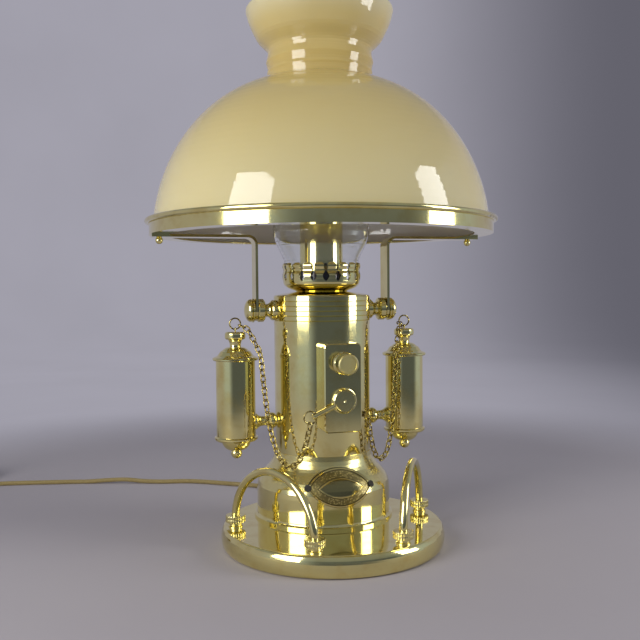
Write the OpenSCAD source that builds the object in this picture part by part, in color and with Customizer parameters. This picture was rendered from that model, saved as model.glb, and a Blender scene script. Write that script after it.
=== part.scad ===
// Polished brass table lamp with an opal glass dome on a tilting frame, side canisters and chains.
// The column's axis is +Z, the front with the switch box is -Y and the arms lie along X.

/* [Base] */
// Radius of the base disc at its widest
base_r = 95; // [90:1:110]
// Height of the base disc's flat top
base_h = 18.2; // [17:0.2:24]
// How far the rounded edge stands out past the flat top
base_roll = 3.3; // [2:0.1:5]
// Height of the widest line of the rounded edge
base_roll_z = 8.6; // [7:0.2:9]
// Flat left behind the bell's foot
base_back_margin = 1; // [0.5:0.1:4]
// Thickness of the disc's top plate over the recess
base_top_t = 5.2; // [4:0.1:7]
// Thickness of the disc's rim at the recess
base_rim_t = 3.7; // [3:0.1:6]
// Thickness of the felt under the base
felt_t = 2; // [1:0.1:3]
// How far the felt stands below the brass rim
felt_proud = 0.6; // [0.3:0.1:1]
// Clear room between the steel weight and the nuts of the rails
weight_gap = 2.2; // [1:0.1:4]

/* [Guard rails] */
// From the feet of the guard rails to the edge of the base disc
rail_foot_margin = 12; // [10:0.1:12.5]
// Angle of the rear foot, behind the line through the disc's centre
rail_rear_a = 5; // [0:1:8]
// Angle of the front foot
rail_front_a = -64.5; // [-70:0.5:-60]
// Radius of the rail's rod
rail_rod_r = 3.35; // [2.5:0.05:4]
// Height of the straight leg of the rail above the disc
rail_leg = 5.8; // [0:0.2:20]
// Radius of the collar at each foot
rail_collar_r = 8.25; // [7:0.1:9]
// Height of the collar
rail_collar_h = 5; // [3:0.2:8]
// Radius of the stem under the collar
rail_stem_r = 4.75; // [4:0.1:6]
// Height of the stem
rail_stem_h = 5; // [3:0.2:8]

/* [Bell] */
// Radius of the bell's foot
bell_foot_r = 61.2; // [60:0.2:66]
// Height of the foot's flat edge
bell_foot_h = 2; // [1:0.1:4]
// Radius of the bell's wall
bell_r = 58.7; // [56:0.1:60]
// Height of the upright wall
bell_wall_h = 23.8; // [16:0.2:30]
// Height of the curved shoulder
shoulder_h = 33.5; // [28:0.5:45]
// Wall thickness of the bell
bell_t = 1.6; // [1:0.1:2.5]

/* [Column] */
// Radius of the column
column_r = 42.3; // [40:0.1:46]
// Length of the column tube
column_h = 134.9; // [128:0.5:160]
// Wall thickness of the column
column_t = 1.5; // [1:0.1:2]
// Number of turned grooves near the top
groove_count = 5; // [2:1:6]
// Distance between two grooves
groove_pitch = 4.15; // [3:0.05:4.5]
// Width of one groove
groove_w = 0.9; // [0.4:0.1:1.4]
// Depth of one groove
groove_d = 0.5; // [0.3:0.1:0.8]
// How far the grooved band stands out
band_step = 0.3; // [0.2:0.1:0.6]
// How far the cap rises at its middle
cap_rise = 4; // [2:0.2:6]
// Thickness of the cap
cap_t = 1.6; // [1:0.1:2.5]
// Radius of the hollow rod that clamps the stack
rod_r = 5; // [4:0.1:6]
// Bore radius of the rod
rod_bore_r = 3.5; // [2:0.1:3.6]

/* [Name plate] */
// Half of the plate's length
plate_half_l = 28.5; // [24:0.5:30]
// Half of the plate's height
plate_half_h = 15.25; // [12:0.25:15.5]
// Height of the plate's centre
plate_z = 52.2; // [50:0.2:54]
// Thickness of the plate's ground
plate_t = 1; // [0.6:0.1:1.5]
// Height of the raised border above the ground
plate_rim_t = 0.6; // [0.3:0.1:1]
// Width of the raised border
plate_rim_w = 1.4; // [1:0.1:2]
// Half of the inner field's length
field_half_l = 19; // [15:0.5:21]
// Half of the inner field's height
field_half_h = 7.5; // [6:0.1:9]
// Head radius of the plate's screws
plate_screw_r = 2.8; // [2:0.05:3]

/* [Switch box] */
// Width of the switch box
box_w = 31.6; // [28:0.2:34]
// Height of the switch box
box_h = 72.7; // [68:0.1:78]
// Height of the box's lower edge
box_z = 99.6; // [96:0.2:104]
// Distance of the box's front from the column's axis
box_front = 64; // [60:0.5:68]
// Corner radius of the box
box_corner_r = 3.5; // [2:0.1:5]
// Wall thickness of the box
box_t = 1.6; // [1:0.1:2.5]
// Width of the bevel round the front
box_bevel = 0.9; // [0.5:0.1:1.5]
// From the middle of the upper knob to the top of the box
knob_below = 15.8; // [14:0.1:18]
// Radius of the upper knob's front
knob_r = 8.5; // [7:0.1:9]
// Radius of the upper knob's flange
knob_flange_r = 9.25; // [9.05:0.05:11]
// Depth of the upper knob
knob_depth = 15.6; // [10:0.2:18]
// From the middle of the lever to the foot of the box
hub_above = 26.4; // [24:0.1:29]
// Radius of the lever's hub
hub_r = 9.7; // [8.5:0.1:11]
// Depth of the lever's hub
hub_depth = 5.4; // [5.2:0.1:8]
// Radius of the lever's rod
lever_rod_r = 2.3; // [1.8:0.1:2.3]
// Length of the lever from the hub's axis to its tip
lever_l = 29.4; // [28.6:0.1:36]
// Distance of the ring's hole from the hub's axis
lever_hole = 26.2; // [22:0.1:26.2]
// Angle of the lever below level
lever_drop_a = 24.3; // [15:0.1:35]
// Mean radius of the lever's ring
lever_ring_r = 5.1; // [4.6:0.1:5.6]
// Mean radius of the eye that holds the right chain
eye_r = 4.2; // [3.8:0.1:4.6]
// Wire radius of the rings
ring_wire_r = 0.65; // [0.4:0.05:0.7]

/* [Canisters] */
// Distance of the canisters from the column's axis
can_x = 77.5; // [74:0.5:84]
// Radius of the canister's body
can_r = 17; // [15:0.1:18]
// Wall thickness of the canister
can_t = 1.2; // [0.8:0.1:2]
// Height of the body's lower edge
can_z = 90.5; // [88:0.5:96]
// Length of the body
can_h = 65.5; // [60:0.5:67]
// Radius of the lid's flange
lid_r = 19.8; // [18.6:0.1:21]
// Radius of the foot's flange
foot_r = 18.7; // [18.3:0.1:20]
// Thickness of both flanges
flange_h = 3.5; // [2.5:0.1:4]
// Height of the lid's dome
dome_h = 8; // [6:0.2:11]
// Radius of the finial's neck
finial_neck_r = 4.9; // [4:0.1:6]
// Height of the finial's neck
finial_neck_h = 6.3; // [4:0.1:8]
// Radius of the finial's button
button_r = 9; // [7:0.1:10]
// Height of the finial's button
button_h = 6.8; // [5:0.1:8]
// Depth of the bowl under the foot
bowl_h = 9.2; // [7:0.2:12]
// Radius of the ball under the bowl
ball_r = 4.9; // [4:0.1:6]
// Mean radius of the ring on the lid
lid_ring_r = 4.7; // [4:0.1:5.5]
// Height of the brackets' axis
bracket_z = 102.2; // [100:0.2:112]
// Radius of the bracket's boss
bracket_boss_r = 7.2; // [6:0.1:8]
// Radius of the bracket's neck
bracket_neck_r = 4.2; // [3:0.1:5]

/* [Chains] */
// Wire radius of the chain
chain_wire_r = 0.6; // [0.4:0.05:0.65]
// Outer length of one link
link_l = 7.9; // [7.4:0.1:9]
// Outer width of one link
link_w = 5.7; // [5.2:0.1:6.2]
// Play between two links
link_play = 0.3; // [0.2:0.1:0.6]
// Number of links in the left chain
left_links = 36; // [34:2:38]
// Number of links in the right chain
right_links = 34; // [32:2:36]

/* [Tilting frame] */
// Height of the pivots
pivot_z = 198.5; // [194:0.5:200]
// Distance of the upright strap from the column's axis
strap_x = 59.5; // [58:0.1:64]
// Thickness of the straps
strap_t = 2.2; // [1.6:0.1:3]
// Width of the straps
strap_w = 18; // [14:0.5:20]
// Outer radius of the strap's bend
strap_bend_r = 8.5; // [5:0.1:12]
// Radius of the pivot spool's collar
spool_r = 10; // [9:0.1:11]
// Radius of the knobs on the pivots
arm_knob_r = 10.3; // [9:0.1:12]
// Depth of the knobs on the pivots
arm_knob_depth = 8.5; // [6:0.1:12]
// Height of the shade ring's shelf
ring_z = 263.2; // [258:0.2:270]
// Outer radius of the shade ring's wall
shade_ring_r = 148.8; // [146:0.2:156]
// Wall thickness of the shade ring
shade_ring_t = 1.3; // [1:0.1:2]
// Height of the shade ring's wall
shade_ring_h = 9.3; // [7:0.1:14]
// Radius of the rolled bead
bead_r = 2.2; // [1.5:0.1:3]
// Width of the ring's shelf
shelf_w = 15.8; // [13:0.2:20]

/* [Shade] */
// Between the foot of the shade and the wall of its ring
shade_margin = 3.5; // [3.3:0.1:6]
// Wall thickness of the glass
glass_t = 3.5; // [2.5:0.1:5]
// Height of the dome from its foot to the neck
dome_rise = 132.4; // [120:0.2:150]
// Radius of the dome where the neck starts
neck_r = 45.5; // [42:0.1:50]
// Height from the neck's start to its waist
neck_h = 24.7; // [20:0.1:30]
// Height of the flared crown above the waist
flare_h = 37; // [30:0.5:45]
// Outer radius of the flared lip
lip_r = 64.2; // [58:0.2:70]

/* [Burner and light] */
// Radius of the burner's crown
crown_r = 33.8; // [33:0.1:36]
// Number of prongs on the crown
prong_count = 20; // [12:1:20]
// Height of the crown above the column's cap
crown_h = 24.9; // [22:0.1:30]
// Wall thickness of the crown
crown_t = 0.9; // [0.6:0.1:1.2]
// Radius of the crown's neck
crown_neck_r = 22.3; // [21.5:0.1:24]
// Radius of the burner tube
tube_r = 19; // [18:0.1:20.5]
// Length of the burner tube
tube_h = 73.6; // [66:0.2:90]
// Wall thickness of the burner tube
tube_t = 1; // [0.8:0.1:1.5]
// Greatest radius of the chimney
chimney_r = 42.5; // [40:0.1:46]
// Radius of the chimney's foot
chimney_foot_r = 32.6; // [30:0.1:32.6]
// Radius of the chimney's top
chimney_top_r = 20; // [18:0.2:22]
// Length of the chimney
chimney_h = 250; // [230:1:270]
// Wall thickness of the chimney
chimney_t = 1.8; // [1.4:0.1:2.4]
// Radius of the lamp bulb
bulb_r = 14; // [10:0.2:15]
// Length of the lamp bulb's glass
bulb_h = 86.7; // [60:0.1:90]

/* [Cord] */
// Diameter of the cord
cord_d = 4.8; // [4.6:0.1:5]
// Length of the strain relief behind the base
relief_l = 24.5; // [20:0.5:26]
// Mean radius of the coil
coil_r = 28.5; // [27:0.1:28.8]
// Distance between neighbouring turns of the coil
coil_pitch = 5.5; // [5.4:0.1:5.6]
// Distance between layers of the coil
coil_layer = 5.3; // [5.3:0.1:5.5]
// Width of the plug
plug_w = 30; // [26:1:34]
// Thickness of the plug
plug_t = 13.8; // [12:0.1:14]
// Length of the plug's body
plug_l = 38; // [36:1:44]
// Radius of the plug's pins
pin_r = 2; // [2:0.1:2.4]
// Length of the plug's pins
pin_l = 19; // [17:1:20]
// Distance between the plug's pins
pin_gap = 19; // [18:0.5:19.5]

/* [Hidden] */

brass = [0.80, 0.66, 0.30];
steel = [0.62, 0.62, 0.60];
black = [0.10, 0.10, 0.10];
opal = [0.88, 0.81, 0.58];
clear = [0.85, 0.88, 0.88, 0.35];
gold_cord = [0.60, 0.53, 0.33];
rubber = [0.16, 0.15, 0.13];

// Play between turned pieces that sit in one another
fit = 0.1;
// Running play of a stud that turns in its bore
run_fit = 0.05;
// Gap between the faces of pieces that move past each other
face_gap = 0.3;
// Steps of the turned curves
curve_n = 12;

crease_r = base_r - base_roll;
rail_foot_r = base_r - rail_foot_margin;
base_forward = crease_r - bell_foot_r - base_back_margin;
recess_r = crease_r - base_rim_t;
recess_z = base_h - base_top_t;
bell_top_z = base_h + bell_wall_h + shoulder_h;
bell_top_r = column_r + 0.5;
bell_bore_r = column_r - 12;
column_top_z = bell_top_z + column_h;
band_r = column_r + band_step;
band_z = column_top_z - groove_pitch * groove_count - groove_pitch * 0.85;
cap_top_z = column_top_z + cap_rise;
cap_flat_r = crown_neck_r + 1.2;
nut_r = 9;
nut_h = 5;
rod_top_z = cap_top_z + 25.6;

// Shoulder of the bell: a cubic curve from the wall to the column
shoulder = [
    [bell_r, base_h + bell_wall_h],
    [bell_r, base_h + bell_wall_h + shoulder_h * 0.54],
    [bell_top_r + 0.7, base_h + bell_wall_h + shoulder_h * 0.48],
    [bell_top_r, bell_top_z]
];
shoulder_inside = [
    [bell_r - bell_t, base_h + bell_wall_h],
    [bell_r - bell_t, base_h + bell_wall_h + shoulder_h * 0.54 - bell_t * 0.6],
    [bell_top_r + 0.7 - bell_t, base_h + bell_wall_h + shoulder_h * 0.48 - bell_t * 0.6],
    [bell_top_r - bell_t, bell_top_z - bell_t]
];

rail_span = 2 * rail_foot_r * sin((rail_rear_a - rail_front_a) / 2);
rail_mid_a = (rail_rear_a + rail_front_a) / 2;
rail_mid_r = rail_foot_r * cos((rail_rear_a - rail_front_a) / 2);
rail_nut_r = 4.8;
weight_r = rail_foot_r - rail_nut_r - weight_gap;
rail_collar_play = 0.3;
rail_nut_h = 3.5;

box_mid_z = box_z + box_h / 2;
knob_z = box_z + box_h - knob_below;
hub_z = box_z + hub_above;
spindle_r = 3;
bush_r = 4.6;
switch_depth = 14;
hub_y = -box_front - face_gap;
lever_y = hub_y - hub_depth / 2;
lever_dir = [-cos(lever_drop_a), 0, -sin(lever_drop_a)];
ring_hole_r = ring_wire_r + 0.85;
// Angle between the ring's own level and its hole in the lever
ring_hang_a = 16;
ring_centre = [0, lever_y, hub_z] + lever_hole * lever_dir
    - lever_ring_r * [cos(ring_hang_a), 0, sin(ring_hang_a)];

can_top_z = can_z + can_h;
lid_dome_z = can_top_z + flange_h;
button_z = lid_dome_z + dome_h + finial_neck_h;
lid_top_z = button_z + button_h;
lid_eye_r = 1.6;
lid_eye_wire_r = 0.5;
lid_eye_z = lid_top_z + lid_eye_r + lid_eye_wire_r - 0.3;
lid_ring_z = lid_eye_z + lid_ring_r + 0.3;
foot_z = can_z - flange_h;
ball_join_a = 27;
ball_z = foot_z - bowl_h - ball_r * sin(ball_join_a);
bracket_stud_r = 2;
bracket_end_x = can_x - can_r;

spool_collar_x = strap_x - strap_t / 2 - face_gap;
stud_r = 2.5;
strap_hole_r = stud_r + fit;
arm_knob_x = strap_x + strap_t / 2 + face_gap;
arm_end_x = shade_ring_r - 1.8;
arm_screw_x = shade_ring_r - 8.3;
arm_screw_r = 1.9;

shelf_t = 1.4;
shelf_z = ring_z + shelf_t;
shade_r = shade_ring_r - shade_margin;
shade_foot_z = shelf_z + face_gap;
neck_z = shade_foot_z + dome_rise;
waist_z = neck_z + neck_h;
lip_z = waist_z + flare_h;

cap_skirt = 5;
spigot_r = 3;
eye_shank_r = 1;
crown_z = cap_top_z;
crown_floor_z = crown_z + 7.8;
crown_band_z = crown_z + 4;
crown_top_z = crown_z + crown_h;
crown_slot_z = crown_z + 6.4;
chimney_z = crown_floor_z + face_gap;
holder_r = 13.5;
holder_z = rod_top_z - 4;
holder_h = cap_top_z + tube_h + 4 - holder_z;
holder_wire_x = -rod_r - 4;
bulb_t = 0.9;
bulb_cap_r = 6.9;
bulb_cap_z = holder_z + holder_h - 22;
bulb_z = holder_z + holder_h + face_gap;

link_pitch = link_l - 4 * chain_wire_r - link_play;
link_bend_r = link_w / 2 - chain_wire_r;

// Eye in the column for the right chain
eye_a = -50;
eye_z = 109.1;
eye_out = column_r + 5.4;
eye_centre = [eye_out * cos(eye_a), eye_out * sin(eye_a), eye_z];

// Angle below level at which a chain's first link holds the lid's ring
hook_a = 20;
hook_l = link_l / 2 - 2 * chain_wire_r - ring_wire_r - link_play;
// Each chain leaves its ring, lies over the lid's flange and hangs from there in one free curve
left_start = [-can_x + lid_ring_r * cos(hook_a), 0, lid_ring_z - lid_ring_r * sin(hook_a)];
left_over = [-can_x + 10.3, -4, lid_top_z + 2.3];
left_edge = [-can_x + 19.7, -12.3, can_top_z + 5.5];
left_end = ring_centre - [0, 0, lever_ring_r];
right_start = [can_x - lid_ring_r * cos(hook_a), 0, lid_ring_z - lid_ring_r * sin(hook_a)];
right_over = [can_x - 6.4, -6.9, lid_top_z + 3];
right_mid = [can_x - 8.6, -10.7, lid_top_z - 0.8];
right_edge = [can_x - 14.5, -18.1, can_top_z + 5.5];
right_end = eye_centre - [0, 0, eye_r];

feed_wire_r = 1.6;
feed_y = rod_r + 9;
feed_slot_w = 8;
lamp_wire_r = 1.2;
lamp_wire_x = -rod_r - 7;
wire_back_y = -box_front + box_t + fit + switch_depth + 0.2;
feed_hole_z = hub_z - 8;
lamp_hole_z = knob_z - 5;
wire_hole_x = 4;
wire_rise_y = -column_r + 10.3;
gland_l = 11;
gland_flange_t = 2;
gland_r = 4;
gland_flange_r = 6.2;
cord_r = cord_d / 2;
cord_exit_z = base_roll_z;
base_back = base_r - base_forward;
relief_end_y = base_back + gland_flange_t + relief_l;

// Route of the free cord on the table, chosen by hand
cord_route = [
    [0, relief_end_y, cord_exit_z], [0, 104, 8.2], [-1, 116, 6.8], [-3, 128, 4.6], [-7, 142, 2.8],
    [-14, 156, 2.4], [-28, 173, 2.4], [-47, 186, 2.4], [-57, 192.5, 2.4], [-78, 206.5, 2.4],
    [-99, 217, 2.4], [-126, 223, 2.4], [-146, 230, 2.8], [-165, 236, 4.5], [-185, 242, 3.8],
    [-205, 248, 2.4], [-230, 254, 2.4], [-255, 259, 2.4], [-280, 264, 2.4], [-300, 267, 2.4],
    [-318, 268, 2.4], [-334, 268, 2.4]
];
// Middle of the coil
coil_at = [-352, 302, 2.4];
coil_turns = 7.25;
// Steps of the cord from the coil's end to the plug, chosen by hand
tail_steps = [
    [0, 0, 0], [0, 8, 0], [0, 16, -1.2], [0, 24, -3.8], [0, 32, -6.8], [0, 40, -9.3], [0, 48, -10.9],
    [0, 56, -11.4]
];

// Points of a cubic curve, its first point left out
function bezier(c, n = curve_n) = [
    for (i = [1:n]) let (t = i / n, u = 1 - t)
        u * u * u * c[0] + 3 * u * u * t * c[1] + 3 * u * t * t * c[2] + t * t * t * c[3]
];
// Points of an elliptical arc about a centre
function arc(c, rx, rz, a0, a1, n = curve_n) = [
    for (i = [0:n]) let (a = a0 + (a1 - a0) * i / n) [c[0] + rx * cos(a), c[1] + rz * sin(a)]
];
function inset(points, d) = [for (p = points) [p[0] - d, p[1]]];
// Outline moved by d square to itself, outwards where it climbs
function shifted(p, d) = [
    for (i = [0:len(p) - 1]) let (v = p[min(i + 1, len(p) - 1)] - p[max(i - 1, 0)])
        p[i] + d * [v[1], -v[0]] / norm(v)
];
function reverse(v) = [for (i = [len(v) - 1:-1:0]) v[i]];
function cosh(x) = (exp(x) + exp(-x)) / 2;
function sinh(x) = (exp(x) - exp(-x)) / 2;
function asinh(x) = ln(x + sqrt(x * x + 1));

// Scale of a chain's curve of a given length between two points, by halving the interval
function hang_scale(across, slack, lo = 0.5, hi = 200, n = 50) =
    n == 0 ? (lo + hi) / 2
    : let (a = (lo + hi) / 2)
        2 * a * sinh(across / (2 * a)) > slack
            ? hang_scale(across, slack, a, hi, n - 1) : hang_scale(across, slack, lo, a, n - 1);

// One chain: the straight stretches over the lid, then the free curve
function straight_l(p) = [for (i = [0:len(p) - 2]) norm(p[i + 1] - p[i])];
function total(v, i = 0) = i < len(v) ? v[i] + total(v, i + 1) : 0;
function along(p, s, i = 0) =
    let (l = norm(p[i + 1] - p[i]))
    s <= l || i == len(p) - 2 ? p[i] + (p[i + 1] - p[i]) * s / l : along(p, s - l, i + 1);
function hang_at(p, q, a, l, s) =
    let (
        flat = [q[0] - p[0], q[1] - p[1]], across = norm(flat), up = q[2] - p[2],
        lowest = across / 2 - a * asinh(up / (2 * a * sinh(across / (2 * a)))),
        s0 = a * sinh(-lowest / a), x = lowest + a * asinh((s0 + s) / a),
        z = a * (cosh((x - lowest) / a) - cosh(lowest / a))
    )
    [p[0] + flat[0] * x / across, p[1] + flat[1] * x / across, p[2] + z];
function chain_points(draped, end, links) =
    let (
        over_l = total(straight_l(draped)), edge = draped[len(draped) - 1],
        hang_l = (links - 1) * link_pitch + 2 * hook_l - over_l,
        across = norm([end[0] - edge[0], end[1] - edge[1]]), up = end[2] - edge[2],
        a = hang_scale(across, sqrt(hang_l * hang_l - up * up))
    )
    [
        for (i = [0:links]) let (s = hook_l + (i - 0.5) * link_pitch)
            s < over_l ? along(draped, s) : hang_at(edge, end, a, hang_l, s - over_l)
    ];

// Smooth curve through points, with n steps between two of them
function through(p, n) = [
    for (i = [0:len(p) - 2], j = [0:n - 1]) let (
        t = j / n, a = p[max(i - 1, 0)], b = p[i], c = p[i + 1], d = p[min(i + 2, len(p) - 1)]
    )
        b + t * (c - a) / 2 + t * t * (a - 2.5 * b + 2 * c - d / 2)
        + t * t * t * (1.5 * (b - c) + (d - a) / 2),
    p[len(p) - 1]
];
function unit(v) = v / norm(v);
function heading(p, i, first, last) =
    i == 0 ? first : i == len(p) - 1 ? last : unit(p[i + 1] - p[i - 1]);

// Triangle faces of a closed tube with n rings of m points
function tube_faces(n, m) = concat(
    [
        for (i = [0:n - 2], j = [0:m - 1]) let (k = (j + 1) % m)
            each [
                [i * m + j, (i + 1) * m + k, (i + 1) * m + j],
                [i * m + j, i * m + k, (i + 1) * m + k]
            ]
    ],
    [for (j = [1:m - 2]) [0, j + 1, j]],
    [for (j = [1:m - 2]) [(n - 1) * m, (n - 1) * m + j, (n - 1) * m + j + 1]]
);
module tube(p, r, sides, first, last) {
    rings = [
        for (i = [0:len(p) - 1]) let (
            h = heading(p, i, first, last), side = unit(cross(h, [0, 0, 1])), up = cross(side, h)
        )
            for (j = [0:sides - 1]) let (a = 360 * (j + 0.5) / sides)
                p[i] + r * (cos(a) * side + sin(a) * up)
    ];
    polyhedron(points = rings, faces = tube_faces(len(p), sides), convexity = 10);
}

// The coil winds clockwise in layers of two turns, which spiral in and out in turn
function layer_spiral(t) = let (u = t % 4) u < 2 ? 1 - u : u - 3;
function layer_climb(t) = let (k = floor((t - 1) / 2), u = t - 1 - 2 * k)
    t < 1 ? 0 : k + (u < 0.75 ? 0 : u > 1.25 ? 1 : (u - 0.75) * 2);
coil_steps = 24;
coil_path = [
    for (i = [0:coil_turns * coil_steps]) let (
        t = i / coil_steps, a = -90 - 360 * t, r = coil_r + coil_pitch * layer_spiral(t)
    )
        coil_at + [r * cos(a), r * sin(a), coil_layer * layer_climb(t)]
];
coil_end = coil_path[len(coil_path) - 1];
coil_in = [-1, 0, 0];
coil_out = [0, 1, 0];
coil_points = concat(
    [coil_path[0] - cord_d * coil_in], coil_path, [coil_end + cord_d * coil_out]
);
run_end = coil_points[0];
run_points = through(concat(cord_route, [run_end]), 2);
tail_start = coil_points[len(coil_points) - 1];
tail_points = through([for (d = tail_steps) tail_start + d], 1);
plug_at = tail_points[len(tail_points) - 1];
coil_gap = min([
    for (i = [0:len(coil_path) - 1], j = [i + 8:1:len(coil_path) - 1]) norm(coil_path[i] - coil_path[j])
]) - cord_d;
echo(coil_gap = coil_gap);
echo(
    run_l = total(straight_l(run_points)), coil_l = total(straight_l(coil_points)),
    tail_l = total(straight_l(tail_points))
);

module turned(points) rotate_extrude($fn = 96) polygon(points);
module rod_x(r, x0, x1) translate([x0, 0, 0]) rotate([0, 90, 0]) cylinder(r = r, h = x1 - x0, $fn = 48);
module along_x() rotate([0, 90, 0]) children();
module to_front() rotate([90, 0, 0]) children();
module hex(r, h) cylinder(r = r, h = h, $fn = 6);
module ring(r, wire) rotate_extrude($fn = 48) translate([r, 0]) circle(wire, $fn = 24);
module on_disc() translate([0, -base_forward, 0]) children();

module base_disc() color(brass) difference() {
    on_disc() turned(concat(
        [[0, base_h], [crease_r, base_h], [crease_r, base_h - 0.5]],
        arc([crease_r, base_roll_z], base_roll, base_h - 0.5 - base_roll_z, 80, 20, 6),
        [[base_r, base_roll_z + 1], [base_r, base_roll_z - 1]],
        arc([crease_r, base_roll_z], base_roll, base_roll_z - felt_proud, -20, -90, 7),
        [[recess_r, felt_proud], [recess_r, recess_z], [0, recess_z]]
    ));
    translate([0, 0, recess_z - 1]) cylinder(r = rod_r + fit, h = base_top_t + 2, $fn = 48);
    translate([0, feed_y, recess_z - 1]) cylinder(r = feed_wire_r + 1, h = base_top_t + 2, $fn = 32);
    for (side = [-1, 1]) rail_feet(side)
        translate([0, 0, recess_z - 1]) cylinder(r = rail_rod_r + fit, h = base_top_t + 2, $fn = 32);
    translate([0, base_back + 1, cord_exit_z]) to_front()
        cylinder(r = gland_r + fit, h = gland_l, $fn = 48);
}

module base_weight() color(steel) difference() {
    on_disc() translate([0, 0, felt_t]) cylinder(r = weight_r, h = recess_z - felt_t, $fn = 96);
    cylinder(r = rod_r + 2 * fit, h = base_h, $fn = 48);
    translate([0, 0, felt_t - 1]) cylinder(r = nut_r + 2, h = nut_h + 2.5, $fn = 48);
    translate([-feed_slot_w / 2, nut_r, felt_t - 1]) cube([feed_slot_w, weight_r, base_h]);
}

module base_felt() color([0.09, 0.16, 0.11])
    on_disc() cylinder(r = recess_r - fit, h = felt_t, $fn = 96);

module rail_feet(side) on_disc() for (a = [rail_rear_a, rail_front_a])
    translate([side * rail_foot_r * cos(a), rail_foot_r * sin(a), 0]) children();

module rail(side) color(brass)
    on_disc() translate([side * rail_mid_r * cos(rail_mid_a), rail_mid_r * sin(rail_mid_a), 0])
        rotate([0, 0, side * rail_mid_a + 90]) {
            for (s = [-1, 1]) translate([s * rail_span / 2, 0, recess_z - rail_nut_h])
                cylinder(r = rail_rod_r, h = base_top_t + rail_nut_h + rail_leg, $fn = 48);
            translate([0, 0, base_h + rail_leg]) rotate([90, 0, 0])
                rotate_extrude(angle = 180, $fn = 96) translate([rail_span / 2, 0])
                    circle(rail_rod_r, $fn = 48);
        }

module rail_collars() color(brass) for (side = [-1, 1]) rail_feet(side)
    translate([0, 0, base_h]) difference() {
        turned(concat(
            [[0, 0], [rail_stem_r + 0.8, 0], [rail_stem_r, 1], [rail_stem_r, rail_stem_h - 0.6]],
            [[rail_collar_r - 0.8, rail_stem_h], [rail_collar_r, rail_stem_h + 0.8]],
            [[rail_collar_r, rail_stem_h + rail_collar_h - 0.8]],
            [[rail_collar_r - 0.8, rail_stem_h + rail_collar_h], [0, rail_stem_h + rail_collar_h]]
        ));
        translate([0, 0, -1])
            cylinder(r = rail_rod_r + rail_collar_play, h = rail_stem_h + rail_collar_h + 2, $fn = 48);
    }

module rail_nuts() color(steel) for (side = [-1, 1]) rail_feet(side)
    translate([0, 0, recess_z - rail_nut_h]) difference() {
        hex(rail_nut_r, rail_nut_h);
        translate([0, 0, -1]) cylinder(r = rail_rod_r + fit / 2, h = rail_nut_h + 2, $fn = 48);
    }

module bell() color(brass) difference() {
    turned(concat(
        [[bell_foot_r - 6, base_h], [bell_foot_r, base_h]],
        arc([bell_foot_r, base_h + bell_foot_h + foot_fillet],
            bell_foot_r - bell_r, foot_fillet, 270, 180, 6),
        [shoulder[0]], bezier(shoulder),
        [[bell_bore_r, bell_top_z], [bell_bore_r, bell_top_z - bell_t]],
        reverse(bezier(shoulder_inside)), [shoulder_inside[0]],
        [[bell_r - bell_t, base_h + bell_foot_h + 1], [bell_foot_r - 6, base_h + bell_t]]
    ));
    plate_studs() cylinder(r = plate_shank_r + fit, h = 8, center = true, $fn = 24);
}

foot_fillet = 2.5;
plate_screw_x = plate_half_l - 1.9;
plate_shank_r = 1.1;
bell_outline = concat([[bell_r, base_h + bell_foot_h + foot_fillet], shoulder[0]], bezier(shoulder));
function bell_r_at(z) = lookup(z, [for (p = bell_outline) [p[1], p[0]]]);
plate_lean = atan((bell_r_at(plate_z - 2) - bell_r_at(plate_z + 2)) / 4);
// Lens shape seen from the front, as deep as the bell's front half
module lens(half_l, half_h, margin = 0) {
    r = (half_l * half_l + half_h * half_h) / (2 * half_h);
    intersection_for (s = [-1, 1]) translate([0, -bell_r / 2, plate_z + s * (r - half_h)])
        to_front() cylinder(r = r - margin, h = bell_r / 2 + 8, $fn = 96);
}
// Layer of the plate between two distances from the bell's surface
module bell_skin(d0, d1)
    turned(concat(shifted(bell_outline, d0), reverse(shifted(bell_outline, d1))));

module plate_studs() for (side = [-1, 1])
    rotate([0, 0, side * asin(plate_screw_x / bell_r_at(plate_z))])
        translate([0, -bell_r_at(plate_z), plate_z]) rotate([90 - plate_lean, 0, 0]) children();

module name_plate() color(brass) difference() {
    union() {
        intersection() {
            bell_skin(0.05, plate_t);
            lens(plate_half_l, plate_half_h);
        }
        intersection() {
            bell_skin(plate_t, plate_t + plate_rim_t);
            union() {
                difference() {
                    lens(plate_half_l, plate_half_h);
                    lens(plate_half_l, plate_half_h, plate_rim_w);
                }
                difference() {
                    lens(field_half_l, field_half_h);
                    lens(field_half_l, field_half_h, plate_rim_w / 2);
                }
            }
        }
    }
    plate_studs() translate([0, 0, plate_t]) cylinder(r = plate_screw_r + fit, h = 6, $fn = 32);
    plate_studs() cylinder(r = plate_shank_r + fit, h = 8, center = true, $fn = 24);
}

module plate_screws() color(black) plate_studs() difference() {
    union() {
        translate([0, 0, plate_t]) cylinder(r = plate_screw_r, h = 1.4, $fn = 32);
        translate([0, 0, -3.5]) cylinder(r = plate_shank_r, h = 4 + plate_t, $fn = 24);
    }
    translate([0, 0, plate_t + 1.4]) cube([2 * plate_screw_r + 1, 0.7, 1.2], center = true);
}

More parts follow.
